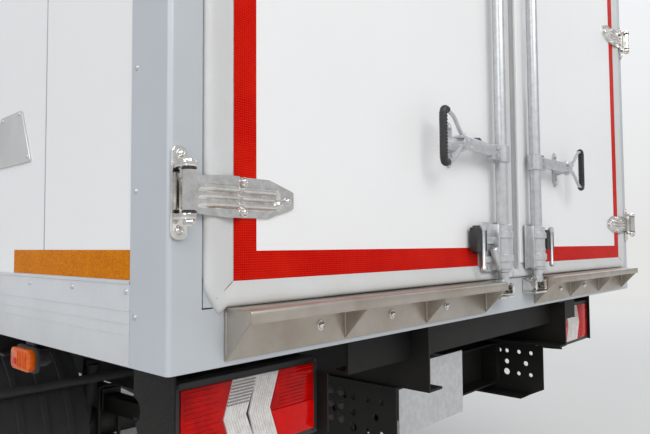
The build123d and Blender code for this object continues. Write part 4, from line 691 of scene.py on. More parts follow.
# The lock handle: wing plate, hub with its pin, wishbone arms, link to the rod's clamp, ribbed black grip
measure_from(y=door_y, z=handle_z)
wing = [(338, -50), (352, -67), (366, -50), (364, -14), (384, 0), (364, 12), (366, 42), (352, 57),
    (338, 42), (340, 0)]
link = [(178, rod_y - 8), (214, rod_y - 4), (330, 38), (350, 40), (350, 52), (326, 52), (210, rod_y + 10),
    (178, rod_y + 9)]
lock_gear += [
    plate("wing", "y", wing, 0.3, 6, 7, 1.2),
    turned("hub", (352, 5, -4), BACK, [(0, 20), (3, 21), (22, 18), (44, 16), (52, 16), (54, 12)], 28),
    turned("pin", (352, 45, -26), UP, [(0, 6), (2, 7.5), (44, 7.5), (46, 6)], 20),
    plate("link", "z", link, -18, 14, 4, 2),
    turned("clamp", (rod_x, rod_y, -30), UP, [(0, 21), (2, 23), (46, 23), (48, 21)], 28),
    chunk("tongue", (rod_x + 14, rod_y - 9, -26), (184, rod_y + 9, 16), 4, 3),
]
lock_gear += [screw_head("head", (352, 6, up), BACK, 6.5, 5) for up in (-50, 42)]
lock_gear += [chunk("jaw", (322, 36, low), (384, 58, low + 6), 2) for low in (-17, 5)]
lock_gear += [nut((158, rod_y + 9, up), BACK, 12, 6) for up in (-16, 6)]
arm = [(338, 50, 6), (366, 52, 10), (392, 56, 26), (416, 57, 52), (434, 57, 60), (446, 56, 62)]
lock_gear += [bent_bar("arm", [(x, y, way * z) for x, y, z in arm], 5.2, 5) for way in (-1, 1)]
half_grip = [(446, 56, 62), (456, 55.5, 66), (462, 55, 58), (463, 55, 40)]
grip = [bent_bar("grip", [(x, y, -z) for x, y, z in half_grip] + [(462, 55, 0)] + half_grip[::-1], 9.4, 8),
    *pads]
grip += [turned("rib", (461.6, 55, -52 + 8 * step), UP, [(0, 9.6), (1.6, 10.8), (3.2, 9.6)], 20)
    for step in range(14)]
grip.append(turned("knob", (213, 0.2, 17), BACK, [(0, 15), (4, 16), (18, 14), (21, 10), (22, 4)], 24))
locks = both(join("lock_gear_left", lock_gear), zinc, "rear_door_left", "galvanised")
for lock, (_, side_name) in zip(locks, SIDES):
    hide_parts(f"rear_door_{side_name}_fittings")
both(join("door_grip_left", grip), grip_black, "rear_door_left", "black_plastic")


# Rear steelwork: folded bumper angles with gussets, keepers, side plates

measure_from(y=door_y)
lip, top = 70, 1027.0
section = [(0.2, 940), (4, 940), (4, top - 4), (lip - 6, top - 4), (lip - 4, top - 7), (lip - 4, top - 22),
    (lip, top - 22), (lip, top - 6), (lip - 1.8, top - 1.8), (lip - 6, top), (0.2, top)]
angle_pieces = [plate("sheet", "x", section, 165, 1069, edge=0.8)]
gusset = [(3, top - 3), (lip - 3, top - 3), (lip - 3, top - 18), (3, 941)]
for gusset_x in range(165, 1066, 300):
    angle_pieces.append(plate("gusset", "x", gusset, gusset_x, gusset_x + 4, edge=0.5))
    angle_pieces.append(bent_bar("weld", [(gusset_x + 2, 5, 950), (gusset_x + 2, 5, top - 6)], 3, 3, False))
screws = [screw_head("screw", (x, 4, 975.3), BACK, 7.5, 7) for x in (839.5, 607, 375)]
keepers = [chunk("shelf", (rod_x - 40, 0.2, 979), (rod_x + 40, 46, 985.2))]
for low, high in ((985, 1024), (3086, 3126)):
    keepers.append(chunk("back", (rod_x - 40, 0.2, low), (rod_x + 40, 5, high)))
    keepers += [plate("cheek", "x", [(0, low), (46, low + 4), (46, high - 6), (0, high)], x, x + 8, 3, 1)
        for x in (rod_x - 40, rod_x + 32)]
side_plate = plate("side_plate", "x", [(-528, 1312), (-582, 1431), (-702, 1429), (-756, 1312)],
    1172.2, 1176, 7, 1.0)
angles = both(join("bumper_angle_left", angle_pieces), brushed_steel, "chassis", "stainless")
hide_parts("rear_steelwork")
both(join("angle_screws_left", screws), bright_steel, "chassis", "stainless")
both(join("keepers_left", keepers), bright_steel, "chassis", "stainless")
both(join("side_plate_left", [side_plate]), plain_steel, "chassis", "stainless")


# Tail lamps: black rim, red outer and inner fields, a clear double arrow between them

measure_from(y=door_y - 143)
lens_low, lens_high, lens_middle = 723.0, 866.0, 794.0


def lens_field(points, proud=2.0):
    """One flat field of the lens."""
    return plate("field", "y", points, -6, proud, edge=1.0)


def arrow(edge_x, tip_x, edge_width, tip_width):
    """The outline of a band that bends at the lens's middle."""
    return [(edge_x, lens_high), (edge_x + edge_width, lens_high), (tip_x + tip_width, lens_middle),
        (edge_x + edge_width, lens_low), (edge_x, lens_low), (tip_x, lens_middle)]


rim = [plate("rim", "y", oblong(691, 709, 1065, 879), -30, -2, 11, 2.5)]
rim += [screw_head("rim_screw", (x, -2, z), BACK, 4, 3) for x in (699.5, 1060.5) for z in (716, 872)]
outer_field = [(937, lens_high), (1056, lens_high), (1056, lens_low), (937, lens_low), (961, lens_middle)]
inner_top = [(708, lens_high), (812, lens_high), (837, lens_middle), (835, 787), (708, 787)]
red = [lens_field(outer_field), lens_field(inner_top)]
red += [plate("rib", "y", oblong(968 + 18 * (step % 2), 733 + 9.5 * step, 1049, 736.5 + 9.5 * step), 1, 3.4,
    edge=0.8) for step in range(14)]
red += [plate("rib", "y", oblong(712, 792 + 7.4 * step, 812, 795 + 7.4 * step), 1, 3.2, edge=0.8)
    for step in range(10)]
inner_foot = lens_field([(708, 786), (834.6, 786), (812, lens_low), (708, lens_low)], 3.0)
bands = []
for edge_x, tip_x in ((874, 902.5), (813, 838)):
    bands.append(lens_field(arrow(edge_x, tip_x, 62, 57), 1.2))
    bands += [plate("rib", "y", arrow(edge_x + 5 + 6.4 * step, tip_x + 5 + 6.2 * step, 2.4, 2.4), 0, 2.6)
        for step in range(9)]
lines = []
for drop in range(5, 48, 6):
    line_z = lens_high - drop
    outline = oblong(876 + drop * 0.36, line_z - 1.4, 934 + drop * 0.36, line_z + 1.4)
    lines.append(plate("line", "y", outline, 0, 3.0))
for name, pieces, lamp_finish, slot in (("rim", rim, black_mould, None), ("red", red, lens_red, "red_lens"),
        ("reflector", [inner_foot], reflector_red, "red_lens"), ("clear", bands, lens_clear, "lamp_glass"),
        ("grid", lines, lens_grid, None)):
    pair = both(join(f"lamp_{name}_left", pieces), lamp_finish, "chassis", slot)
    if name == "red":
        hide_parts("tail_lamp_lenses")


# Side walls: panel joints, lower and upper rails with their lines and rivets, dashed tape

side_start = body_front_y + 62 - door_y
side_end = -112.0
rivet_pitch = 197.0
dash_length, dash_gap = 501, 250
measure_from(y=door_y)


def rivets(place, count, step, radius=5.2):
    """A row of flat domed rivets on the left wall."""
    first = turned("rivet", place, OUT, [(0, radius), (1.2, radius * 0.92), (2.4, radius * 0.6),
        (2.8, radius * 0.2)], 14)
    return row(first, count, step)


rail_lines = [(932, 1071.5, 1.0), (982, 983.8, 1.8), (1001, 1002.8, 1.8), (1022, 1023.8, 1.8),
    (1066.5, 1072.5, 2.2)]
rails = [chunk("rail", (1174.6, side_start, low), (1175 + proud, side_end, high), 0.3)
    for low, high, proud in rail_lines]
rails.append(chunk("top_rail", (1174.6, side_start, 3102), (1176.6, side_end, 3156), 0.7))
along_wall = int((side_end - side_start - 20) / rivet_pitch) + 1
wall_rivets = rivets((1176, side_end - 10, 1054.5), along_wall, (0, -rivet_pitch, 0))
wall_rivets += rivets((1176.4, side_end - 10, 3116), along_wall, (0, -rivet_pitch, 0))
wall_rivets += rivets((1174.8, -96, 1014), 11, (0, 0, 205))
for y, z in ((-593, 1424), (-541, 1324), (-690, 1421), (-740, 1324)):
    wall_rivets += rivets((1175.8, y, z), 1, (0, 0, 0), 4.5)
joints = row(chunk("joint", (1171.8, -459.5, 1073), (1172.5, -456.5, 3099), 0), 4, (0, -panel_pitch, 0))
first_dash = chunk("dash", (1171.9, side_end - 1 - dash_length, 1073.2), (1172.8, side_end - 1, 1123), 0)
dash_count = int((side_end - 1 - side_start - dash_length) // (dash_length + dash_gap)) + 1
dashes = row(first_dash, dash_count, (0, -dash_length - dash_gap, 0))
for name, pieces, wall_finish, slot in (("side_rails", rails, rail_alloy, "aluminium"),
        ("wall_rivets", wall_rivets, zinc, "galvanised"), ("panel_seams", joints, grey_seal, None),
        ("side_tape", dashes, tape_amber, None)):
    both(join(f"{name}_left", pieces), wall_finish, "chassis", slot)


# Amber side lamps: lens with its inner reflector, rim and hanger

measure_from(y=door_y - 650)
marker_lens = [plate("lens", "x", oblong(0, 859, 107, 907), 1150, 1164, 15, 3)]
marker_lens += [chunk("bead", (1163, 40 + 9 * at, 866), (1165.4, 43 + 9 * at, 900), 0.8) for at in range(6)]
marker_back = [plate("back", "x", oblong(-4, 855, 111, 911), 1142, 1151, 17, 2),
    chunk("hanger", (1136, 30, 880), (1142, 74, 931), 1),
    turned("plug", (1142, 92, 880), (-1, 0, 0), [(0, 12), (18, 12), (24, 9), (30, 5)], 16)]
marker_core = [chunk("core", (1163.6, 12, 870), (1164.6, 34, 884), 0.4)]
for name, pieces, marker_finish, slot in (("side_markers", marker_lens, lens_amber, "amber_lens"),
        ("marker_backs", marker_back, black_mould, None), ("marker_cores", marker_core, lens_red, None)):
    markers = join(f"{name}_left", row(join("marker", pieces), 3, (0, -1450, 0)))
    pair = both(markers, marker_finish, "chassis", slot)
    if name == "side_markers":
        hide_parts("side_markers")


# Mudguards: ribs round the curve and the bolts of their stays, measured from the rear axle

measure_from(y=rear_axle_y, z=axle_z)
guard_out = 383.5 + 72 + 5


def guard_rib(angles, x):
    """A rib about the axle between two angles."""
    profile = ((x, guard_out - 1), (x + 2, guard_out + 5), (x + 20, guard_out + 5), (x + 22, guard_out - 1))

    def place(u, v):
        angle = radians(angles[0] + u * (angles[1] - angles[0]))
        at_x, radius = profile[round(v * 3)]
        return (at_x, radius * cos(angle), radius * sin(angle))

    return grid("rib", 22, 3, place)


guard_ribs = []
for low, high in ((-7, 77), (103, 187)):
    guard_ribs += [guard_rib((low, high), rib_x) for rib_x in (740, 820, 900, 980, 1060)]
    for angle in (low + 12, high - 12):
        way = (0, cos(radians(angle)), sin(radians(angle)))
        guard_ribs += [turned("bolt", (bolt_x, (guard_out - 0.5) * way[1], (guard_out - 0.5) * way[2]), way,
            [(0, 11), (1.5, 11), (2, 8), (6, 7), (7.5, 4)], 12) for bolt_x in (780, 940, 1100)]
both(outward(join("guard_ribs_left", guard_ribs)), black_mould, "chassis", "black_plastic")


# Tyres with their road tread

TREAD = [
    # across, radius, and 1 where the tread's blocks are cut
    (-78, 223, 0), (-80, 240, 0), (-90, 252, 0), (-98, 266, 0), (-103, 282, 0), (-105, 300, 0),
    (-104.5, 318, 0), (-103, 332, 0), (-102, 334, 0), (-101, 345, 0), (-98, 358, 0), (-95, 368, 0),
    (-92, 374, 1), (-84, 379, 1), (-70, 382, 1), (-60, 383, 1), (-58, 373, 0), (-50, 373, 0),
    (-48, 383.2, 1), (-26, 383.4, 1), (-24, 373, 0), (-16, 373, 0), (-14, 383.5, 1),
]
TREAD += [(-across, radius, cut) for across, radius, cut in reversed(TREAD)]
tread_blocks = 58


def tyre(centre_x):
    """One tyre: rounded sidewalls, four grooves round it and cuts across its blocks."""
    def place(u, v):
        across, radius, cut = TREAD[round(v * (len(TREAD) - 1))]
        step = round(u * tread_blocks * 4)
        if cut and step % 4 == 3:
            radius -= 6 if abs(across) > 50 else 4
        angle = 2 * pi * step / (tread_blocks * 4) + across * 0.0016
        return (centre_x + across, radius * cos(angle), radius * sin(angle))

    return outward(grid("tyre", tread_blocks * 4, len(TREAD) - 1, place))


def nut_ring(side, face_x):
    """Six wheel nuts on their washers round a hub."""
    pieces = []
    for step in range(6):
        turn = 2 * pi * (step + 0.5) / 6
        y, z = 112 * cos(turn), 112 * sin(turn)
        out = (side, 0, 0)
        pieces.append(turned("washer", (side * face_x, y, z), out, [(0, 15), (3, 15)], 18, edge=0.6))
        pieces.append(nut((side * (face_x + 3), y, z), out, 24, 16))
        pieces.append(turned("stud", (side * (face_x + 19), y, z), out, [(0, 7), (7, 7), (8, 6)], 12))
    return pieces


for side, side_name in SIDES:
    out = (side, 0, 0)
    measure_from(y=front_axle_y, z=axle_z)
    wheel = f"front_wheel_{side_name}"
    front_tyre = join(f"front_tread_{side_name}", [tyre(side * 870.0)])
    dress(front_tyre, tyre_rubber, wheel, "tyre", 30)
    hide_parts(f"front_tyre_{side_name}")
    cap = turned("cap", (side * 970, 0, 0), out, [(0, 66), (8, 66), (12, 60), (26, 56), (30, 50), (32, 20)],
        36, edge=1)
    dress(join(f"front_nuts_{side_name}", [*nut_ring(side, 944), cap]), zinc, wheel, "galvanised")
    stem = [(side * x, y, 0) for x, y in ((880, 205), (888, 188), (906, 176), (924, 172))]
    dress(bent_bar("valve", stem, 4, 3), grip_black, wheel)

    measure_from(y=rear_axle_y, z=axle_z)
    wheel = f"rear_wheels_{side_name}"
    twins = join(f"rear_tread_{side_name}", [tyre(side * x) for x in (800.0, 1040.0)])
    dress(twins, tyre_rubber, wheel, "tyre", 30)
    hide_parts(f"rear_tyres_{side_name}")
    flange = turned("flange", (side * 1040, 0, 0), out, [(0, 78), (10, 78), (14, 70), (24, 66), (28, 40)],
        36, edge=1)
    studs = [turned("stud", (side * 1050, 58 * cos(pi * at / 4), 58 * sin(pi * at / 4)), out,
        [(0, 6.5), (14, 6.5), (16, 4)], 6) for at in range(8)]
    dress(join(f"rear_nuts_{side_name}", [*nut_ring(side, 932), flange, *studs]), zinc, wheel, "galvanised")


# Cab: seals round the glass, wipers, lamps, handles, steps and mirrors, measured from the front

measure_from(y=front)
FACE = [(600, 55), (1120, 75), (1950, 250), (2225, 330), (2290, 440)]


def side_x(z):
    """The cab's left side at a height."""
    return 1030.0 - max(0.0, z - 1270) * 62 / 1020


screen = [(-905, 1190), (905, 1190), (830, 2110), (-830, 2110)]
screen_seal = trim_loop("screen_seal", screen, 70, 9, lambda x, z: (x, between(FACE, z) + 3, z))
back_seal = trim_loop("back_seal", oblong(-560, 1560, 560, 1960), 60, 8, lambda x, z: (x, cab_back - 3, z))
dress(join("glass_seals", [screen_seal, back_seal]), grip_black, "cab")
window = [(300, 1365), (1120, 1365), (1120, 2090), (500, 2090), (405, 1860)]
window_seal = trim_loop("window_seal", window, 50, 6.5, lambda y, z: (side_x(z) - 2, y, z))
waist = chunk("waist", (1027, 290, 1346), (1033, 1130, 1358), 2)
both(join("window_seal_left", [window_seal, waist]), grip_black, "cab_door_left")


def wiper(foot_x, reach):
    """A wiper parked along the foot of the windscreen: spindle, arm, blade and rubber."""
    def bar(name, points, radius, sides):
        return bent_bar(name, [(x, between(FACE, at) + off, z) for x, at, off, z in points], radius, sides)

    tip_x, middle_x = foot_x + reach, foot_x + reach * 0.55
    return [
        turned("spindle", (foot_x, between(FACE, 1160) + 2, 1160), (0, -1, 0.2),
            [(0, 17), (10, 16), (18, 9), (20, 4)], 20),
        bar("arm", [(foot_x, 1160, -12, 1160), (foot_x + reach * 0.2, 1190, -14, 1185),
            (middle_x - 60, 1225, -10, 1228), (middle_x, 1232, -4, 1236)], 5, 4),
        bar("blade", [(foot_x - 40, 1216, 3, 1216), (middle_x, 1236, -3, 1238), (tip_x, 1248, 3, 1250)],
            4.5, 3),
        bar("rubber", [(foot_x - 50, 1212, 9, 1212), (middle_x, 1232, 8, 1233),
            (tip_x + 10, 1244, 9, 1246)], 2.5, 2),
    ]


dress(join("wipers", wiper(-560, 620) + wiper(250, 560)), grip_black, "cab")

lamp_box = plate("lamp_box", "y", oblong(641, 656, 879, 814), 60, 48, 14)
lamp_edge = trim_loop("lamp_edge", oblong(642, 657, 878, 813), 14, 3, lambda x, z: (x, 34, z))
bowls = [turned("bowl", (x, 52, 735), AHEAD, [(0, 49), (17, 49), (17, 46), (11, 40), (5, 26), (2, 12)], 40)
    for x in (700, 812)]
bulbs = [turned("bulb", (x, 50, 735), AHEAD, [(0, 8), (10, 8), (14, 6), (16, 2)], 20) for x in (700, 812)]
both(join("lamp_box_left", [lamp_box, lamp_edge]), black_mould, "cab")
both(join("lamp_bowls_left", [*bowls, chunk("eyebrow", (648, 40, 796), (868, 50, 806), 2)]), chrome, "cab")
both(join("lamp_bulbs_left", bulbs), lens_clear, "cab")
both(chunk("winker_left", (864, 38, 662), (876, 54, 790), 2), lens_amber, "cab", "amber_lens")
cover = plate("lamp_cover_left", "y", oblong(643, 658, 877, 812), 32, 35, 13, 1)
covers = both(cover, lamp_glass, "cab", "lamp_glass")
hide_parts("headlamps")
fog_ring = turned("fog_ring_left", (730, 5.5, 440), AHEAD,
    [(0, 45.5), (4.5, 45.5), (5, 44), (5, 38), (2, 37)], 36)
both(fog_ring, black_mould, "chassis")
fog_glass = turned("fog_left", (730, 5.5, 440), AHEAD, [(0, 37), (3.4, 37), (4.2, 30), (4.8, 10)], 36)
both(fog_glass, lens_clear, "chassis", "lamp_glass")

pull = [chunk("pull", (1026, 1020, 1203), (1044, 1160, 1227), 6, 4),
    plate("bowl", "x", rounded(oblong(1026, 1172, 1154, 1248), 12), 1004, 1006),
    turned("lock", (1030, 1172, 1215), OUT, [(0, 9), (2, 9), (2.5, 6)], 20)]
both(join("door_pull_left", pull), black_mould, "cab_door_left", "black_plastic")
both(chunk("repeater_left", (1029, 1236, 1130), (1036, 1300, 1158), 5, 3), lens_amber, "cab", "amber_lens")
panes = [chunk("pane", (1133, 214, low), (1282, 216.5, high), 4, 3)
    for low, high in ((1668, 1918), (1512, 1652))]
both(join("mirror_panes_left", panes), mirror_glass, "cab")
feet = [turned("foot", (1020, 197, z), UP, [(0, 22), (4, 24), (34, 24), (38, 22)], 24)
    for z in (1541, 1851)]
both(join("mirror_feet_left", feet), grip_black, "cab")

treads = []
for floor_z in (440, 640):
    treads.append(chunk("tread", (902, 174, floor_z + 0.2), (1022, 551, floor_z + 3), 1))
    treads += row(chunk("rib", (910, 186, floor_z + 2.5), (1014, 192, floor_z + 6), 1.2), 14, (0, 26, 0))
both(join("step_treads_left", treads), zinc, "cab")
grille_rim = trim_loop("grille_rim", oblong(-612, 707, 612, 1073), 14, 5,
    lambda x, z: (x, 38 + (z - 700) * 12 / 380, z))
dress(grille_rim, chrome, "cab")
bumper_strip = plate("bumper_strip", "y", oblong(-880, 345, 880, 372), 4, 0.4, 6, 1)
dress(bumper_strip, black_mould, "chassis", "black_plastic")


# Inside the cab: padded seats, dials, vents, gear lever and door panels

def cushion(name, outline, half_width, middle_x, crown):
    """A padded form: a side outline carried across, crowned, with pulled-in edges and two sewn channels."""
    outline = [(front + y, seat_z + z) for y, z in outline]
    centre = Vector((0, *[sum(point[at] for point in outline) / len(outline) for at in (0, 1)]))
    measure_from()
    piece = plate(name, "x", rounded(outline, 22, 3), -half_width, half_width)
    measure_from(y=front)
    modify(piece, "REMESH", mode="VOXEL", voxel_size=0.014)
    modify(piece, "SMOOTH", factor=0.6, iterations=10)
    for vertex in piece.data.vertices:
        away = vertex.co - centre * MM
        share = vertex.co.x / (half_width * MM)
        swell = crown * MM * (1 - share ** 2) * 0.8
        channel = 0.006 * max(0.0, 1 - abs(abs(vertex.co.x) - half_width * 0.42 * MM) / 0.012)
        vertex.co += Vector((0, away.y, away.z)).normalized() * (swell - channel - crown * MM * 0.45)
    piece.data.transform(Matrix.Translation((middle_x * MM, 0, 0)))
    modify(piece, "SUBSURF", levels=1, render_levels=1)
    dress(piece, seat_cloth, "cab", "seat_cloth", 180)
    return piece


seat_z = 1110.0
for label, way, seat_x, seat_half in (("driver", 1, 470.0, 240.0), ("crew", -1, -470.0, 300.0)):
    squab = [(820, 20), (820, 118), (1262, 90), (1262, 2)]
    squab = cushion(f"{label}_cushion", squab, seat_half - 6, seat_x, 14)
    if label == "driver":
        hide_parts("seats")
    cushion(f"{label}_back", [(1262, 96), (1352, 70), (1508, 652), (1432, 668)], seat_half - 6, seat_x, 14)
    cushion(f"{label}_head_rest", oblong(1457, 706, 1523, 848), 128, seat_x, 8)
    inner, outer = sorted((way * 408, seat_x + way * 200))
    seat_frame = [chunk("base", (inner, 862, 900.3), (outer, 1218, seat_z + 4), 10, 3)]
    seat_frame += [bent_bar("post", [(seat_x + shift, 1478, seat_z + 630),
        (seat_x + shift, 1490, seat_z + 716)], 7, 4, False) for shift in (-60, 60)]
    seat_frame += [turned("hinge", (seat_x + end * (seat_half - 6), 1300, seat_z + 60), (end, 0, 0),
        [(0, 34), (6, 34), (10, 26)], 24) for end in (-1, 1)]
    dress(join(f"{label}_frame", seat_frame), black_mould, "cab")

cluster = plate("cluster", "y", rounded([(300, 1196), (640, 1196), (620, 1258), (320, 1258)], 14), 452, 470)
dials = [turned("dial", (x, 468, 1226), BACK, [(0, radius), (4, radius), (6, radius - 2), (6, radius - 4)],
    36) for x, radius in ((400, 26), (540, 26), (470, 18))]
dress(join("dials", dials), chrome, "cab")
dress(cluster, dial_face, "cab")
fittings = [chunk("radio", (-90, 450, 1140), (90, 466, 1190), 3)]
fittings += [turned("knob", (x, 465, 1165), BACK, [(0, 11), (10, 10), (12, 7)], 24) for x in (-70, 70)]
for vent_x in (-860, -300, 180, 860):
    fittings.append(chunk("vent", (vent_x - 60, 455, 1152), (vent_x + 60, 461, 1196), 3))
    fittings += row(chunk("slat", (vent_x - 54, 458, 1158), (vent_x + 54, 466, 1161), 0.8), 5, (0, 0, 8))
fittings += [
    turned("boot", (72, 425, 1074), (0.1, 0.5, 0.86), [(0, 58), (12, 50), (24, 44), (34, 34), (46, 28),
        (58, 16)], 32),
    bent_bar("lever", [(70, 415, 1072), (78, 450, 1130), (90, 520, 1226)], 9.5, 5),
    turned("knob", (86, 500, 1206), (0.1, 0.48, 0.87), [(0, 12), (10, 20), (28, 25), (44, 22), (52, 12)],
        32),
]
fittings += [bent_bar("stalk", [(470, 520, 1290), (470 + way * 120, 530, 1300),
    (470 + way * 190, 545, 1312)], 7, 4) for way in (-1, 1)]
dress(join("dash_fittings", fittings), grip_black, "cab")
column = Vector((0, cos(radians(62)), sin(radians(62))))
hub_pad = turned("hub_pad", Vector((470, 560, 1345)) + 25 * column, column,
    [(0, 61), (5, 60), (9, 50), (11, 20)], 40)
dress(hub_pad, grip_black, "steering_wheel")
card = [chunk("card", (958, 300, 930), (974.5, 1150, 1325), 8, 3),
    chunk("arm_rest", (905, 560, 1180), (962, 1050, 1222), 16, 4),
    chunk("pocket", (938, 480, 955), (962, 1090, 1065), 10, 3),
    chunk("pull", (945, 380, 1240), (960, 480, 1262), 5, 3)]
both(join("door_card_left", card), dash_grain, "cab_door_left")


# Cooling unit: fans, panel joints, louvres, catches and pipes, measured from the body's front

measure_from(y=body_front_y)
unit_y = -450


def fan(place, radius, blades, depth, direction):
    """A fan facing along Y: shroud ring, hub and curved blades."""
    x, y, z = place
    way = (0, direction, 0)
    ring = [(0, radius + 10), (depth, radius + 10), (depth, radius + 3), (1, radius + 2)]
    pieces = [turned("shroud", place, way, ring, 48)]
    pieces.append(turned("hub", place, way, [(0, 40), (depth, 38), (depth + 2, 20)], 28))
    for blade in range(blades):
        def place_at(u, v, base=2 * pi * blade / blades):
            reach = 36 + u * (radius - 38)
            turn = base + (v - 0.5) * (1.0 - 0.35 * u) + 0.25 * u
            return (x + reach * cos(turn), y + direction * (2 + v * (depth - 4)), z + reach * sin(turn))

        pieces.append(thicken(grid("blade", 6, 5, place_at), 1.6))
    return join("fan", pieces)


fans = [fan((fan_x, unit_y + 59, 2775), 160, 9, 14, -1) for fan_x in (-345, 345)]
dress(join("unit_fans", fans), grip_black, "chassis")
unit_seams = [chunk("seam", (x - 1.2, unit_y - 0.5, 2584), (x + 1.2, unit_y + 0.3, 2916), 0)
    for x in (-750, 750)]
for low, high in ((879.6, 880.5), (-880.5, -879.6)):
    unit_seams += [chunk("seam", (low, unit_y + 190, 2560), (high, unit_y + 192.4, 3060), 0),
        chunk("seam", (low, unit_y + 190, 2560), (high, -20, 2562.4), 0)]
dress(join("unit_seams", unit_seams), seam_dark, "chassis")
louvres = [screw_head("screw", (x, unit_y, z), AHEAD, 6, 4) for x in (-728, 728) for z in (2600, 2900)]
for way in (-1, 1):
    slat = [(way * 879, 2640), (way * 888, 2636), (way * 889, 2641), (way * 879, 2656)]
    louvres += row(plate("louvre", "y", slat, unit_y + 225, unit_y + 405, edge=0.8), 9, (0, 0, 34))
    louvres += [turned("catch", (way * 880, unit_y + 215, z), (way, 0, 0), [(0, 13), (4, 13), (6, 8)], 20)
        for z in (2600, 3010)]
dress(join("unit_louvres", louvres), unit_white, "chassis")
pipe = [(-90, 2512), (-60, 2440), (-20, 2380), (-18, 2000), (-18, 1400), (-18, 960)]
pipes = [bent_bar("pipe", [(pipe_x, y, z) for y, z in pipe], radius, 5)
    for pipe_x, radius in ((-620, 14), (-575, 10), (640, 12))]
for clip_z in (1100, 1550, 2000, 2330):
    pipes += [chunk("clip", (low, deep, clip_z), (high, -0.2, clip_z + 22), 3)
        for low, high, deep in ((-642, -555, -36), (620, 660, -34))]
dress(join("unit_pipes", pipes), grip_black, "chassis")
fans = [fan((fan_x, 240, 2862), 118, 7, 12, 1) for fan_x in (-360, 0, 360)]
evaporator_fans = join("evaporator_fans", fans)
centre = Vector(placed((0, 240, 2862))) * MM
face_down = Matrix.Rotation(radians(-90), 4, "X")
evaporator_fans.data.transform(Matrix.Translation(centre) @ face_down @ Matrix.Translation(-centre))
dress(evaporator_fans, grip_black, "chassis")


# Load space: floor bars, kick rails and the joints of the roof

load_end = door_y - 116 - body_front_y
floor_bars = row(chunk("bar", (-1095, 64, 1059.6), (-1069, load_end, 1063), 1), 37, (60.1, 0, 0))
dress(join("floor_bars", floor_bars), floor_alloy, "chassis")
both(chunk("kick_left", (1107, 64, 1061), (1112, load_end, 1300)), rail_alloy, "chassis", "aluminium")
measure_from(y=door_y)
roof_joints = row(chunk("joint", (-1128, -700, 3189.7), (1128, -697, 3190.5), 0), 4, (0, -panel_pitch, 0))
dress(join("roof_joints", roof_joints), grey_seal, "chassis")


# Below: spring bolts, frame bolts, tank and battery box fittings

measure_from()
spring_x = 425


def u_bolt(y, low, high):
    """A bolt bent over the spring pack, with its two nuts."""
    half = [(45, low), (45, high - 14), (42, high - 4), (32, high)]
    leg = [(spring_x - x, y, z) for x, z in half] + [(spring_x + x, y, z) for x, z in half[::-1]]
    nuts = [nut((spring_x + shift, y, low + 22), (0, 0, -1), 24, 18) for shift in (-45, 45)]
    return [bent_bar("leg", leg, 8, 4, False), *nuts]


below = [chunk("spring_plate", (372, rear_axle_y - 92, 310), (478, rear_axle_y + 92, 322), 3)]
for axle_y, shift, low, high in ((front_axle_y, 47, 262, 446), (rear_axle_y, 76, 300, 543)):
    below += [*u_bolt(axle_y - shift, low, high), *u_bolt(axle_y + shift, low, high)]
for member_y in (front + 360, front + 2200, front + 3000, rear_axle_y - 700, rear_axle_y + 560,
        door_y - 330):
    below += [screw_head("bolt", (458, member_y + shift, z), OUT, 9, 8) for shift in (16, 54)
        for z in (664, 700, 736)]
both(join("frame_bolts_left", below), cast_black, "chassis")
guard_caps = [chunk("cap", (1117, y - 5, z - 1), (1147, y + 5, z + 111), 3) for z in (430, 700)
    for y in (body_front_y + 1350, rear_axle_y - 600)]
both(join("guard_caps_left", guard_caps), black_mould, "chassis", "black_plastic")

measure_from(y=body_front_y)
tank_cap = turned("tank_cap", (1008, 390, 889), (0.5, 0, 0.86),
    [(0, 44), (4, 46), (14, 46), (18, 40), (19, 12)], 12, edge=1)
dress(tank_cap, grip_black, "chassis", "black_plastic")
tank_welds = [trim_loop("weld", oblong(542, 402, 1078, 858), 88, 3, lambda x, z, y=y: (x, y, z))
    for y in (70, 990)]
dress(join("tank_welds", tank_welds), tank_alloy, "chassis")
catches = []
for y in (830, 1056):
    catches += [chunk("catch", (-1083, y, 610), (-1073, y + 34, 700), 3),
        chunk("hook", (-1085, y + 4, 604), (-1069, y + 30, 618), 3)]
dress(join("battery_catches", catches), grip_black, "chassis")


# Studio: floor, soft light and the camera of the photograph

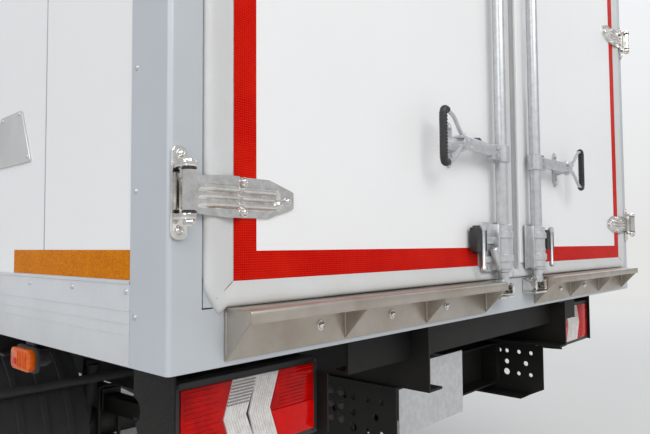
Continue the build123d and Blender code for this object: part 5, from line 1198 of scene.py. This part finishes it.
def studio():
    """A wide pale floor that hides nothing, under a pale sky."""
    clear()
    bpy.ops.mesh.primitive_plane_add(size=120, location=(0, 0, -0.001))
    floor = added("floor")
    ground, shader, add, fill = blank("floor_grey")
    fill(shader, {"Base Color": (0.60, 0.60, 0.59, 1), "Roughness": 0.9})
    haze = add("Emission", {"Color": (0.78, 0.78, 0.77, 1)})
    far = add("VectorMath", {0: add("TexCoord").outputs["Object"]}, operation="LENGTH")
    share = add("MapRange", {"From Min": 5.0, "From Max": 13.0, "Value": far.outputs["Value"]},
        interpolation_type="SMOOTHSTEP")
    fade = add("MixShader", {"Fac": share.outputs["Result"], 1: shader.outputs["BSDF"],
        2: haze.outputs["Emission"]})
    fill(ground.node_tree.nodes["Material Output"], {"Surface": fade.outputs["Shader"]})
    floor.data.materials.append(ground)

    world = bpy.data.worlds.new("daylight")
    bpy.context.scene.world = world
    world.use_nodes = True
    world.node_tree.nodes.clear()
    add, fill = node_tools(world.node_tree)
    way = add("SeparateXYZ", {"Vector": add("TexCoord").outputs["Generated"]})
    sky = add("ValToRGB", {"Fac": way.outputs["Z"]})
    stops = sky.color_ramp.elements
    stops.new(0.35)
    for stop, place, tint in zip(stops, (0.0, 0.35, 1.0),
            ((0.78, 0.78, 0.77), (0.90, 0.92, 0.94), (0.92, 0.95, 1.0))):
        stop.position = place
        stop.color = (*tint, 1)
    lit = add("Background", {"Color": (0.93, 0.96, 1.0, 1), "Strength": 0.55})
    seen = add("Background", {"Color": sky.outputs["Color"], "Strength": 1.0})
    rays = add("LightPath")
    either = add("Math", {0: rays.outputs["Is Camera Ray"], 1: rays.outputs["Is Transmission Ray"]},
        operation="MAXIMUM")
    mix = add("MixShader", {"Fac": either.outputs["Value"], 1: lit.outputs["Background"],
        2: seen.outputs["Background"]})
    add("OutputWorld", {"Surface": mix.outputs["Shader"]})


def lamp(name, place, target, size, power, colour):
    """A rectangular soft lamp aimed at a point."""
    light = bpy.data.lights.new(name, "AREA")
    light.shape = "RECTANGLE"
    light.size, light.size_y = size
    light.energy = power
    light.color = colour
    held = bpy.data.objects.new(name, light)
    held.location = place
    held.rotation_mode = "QUATERNION"
    held.rotation_quaternion = (Vector(target) - Vector(place)).to_track_quat("-Z", "Y")
    bpy.context.collection.objects.link(held)


studio()
lamp("rear_sky", (2.5, 11.0, 7.5), (0.2, 3.0, 1.2), (9, 6), 620, (1.0, 0.98, 0.95))
lamp("left_sky", (10.5, 3.0, 6.5), (1.0, 1.0, 1.3), (8, 6), 420, (0.96, 0.98, 1.0))
lamp("front_sky", (-4.0, -12.0, 8.0), (0, -2.5, 1.2), (10, 6), 620, (0.97, 0.98, 1.0))
lamp("right_sky", (-10.5, 0.0, 6.5), (-1.0, 0, 1.3), (10, 6), 420, (0.95, 0.97, 1.0))

yaw, pitch, roll = radians(47.662), radians(2.769), radians(-0.363)
level = Vector((-sin(yaw), -cos(yaw), 0))
right_hand = Vector((-cos(yaw), sin(yaw), 0))
ahead = level * cos(pitch) + Vector((0, 0, sin(pitch)))
above = level * -sin(pitch) + Vector((0, 0, cos(pitch)))
across = right_hand * cos(roll) + above * sin(roll)
upward = right_hand * -sin(roll) + above * cos(roll)
lens = bpy.data.cameras.new("view")
lens.lens = 32.70
lens.sensor_width = 36
lens.clip_end = 200
camera = bpy.data.objects.new("view", lens)
camera.matrix_world = Matrix((
    (across.x, upward.x, -ahead.x, 1.6786), (across.y, upward.y, -ahead.y, 4.1065),
    (across.z, upward.z, -ahead.z, 1.1282), (0, 0, 0, 1)))
bpy.context.collection.objects.link(camera)
bpy.context.scene.camera = camera
bpy.context.scene.view_settings.view_transform = "Standard"
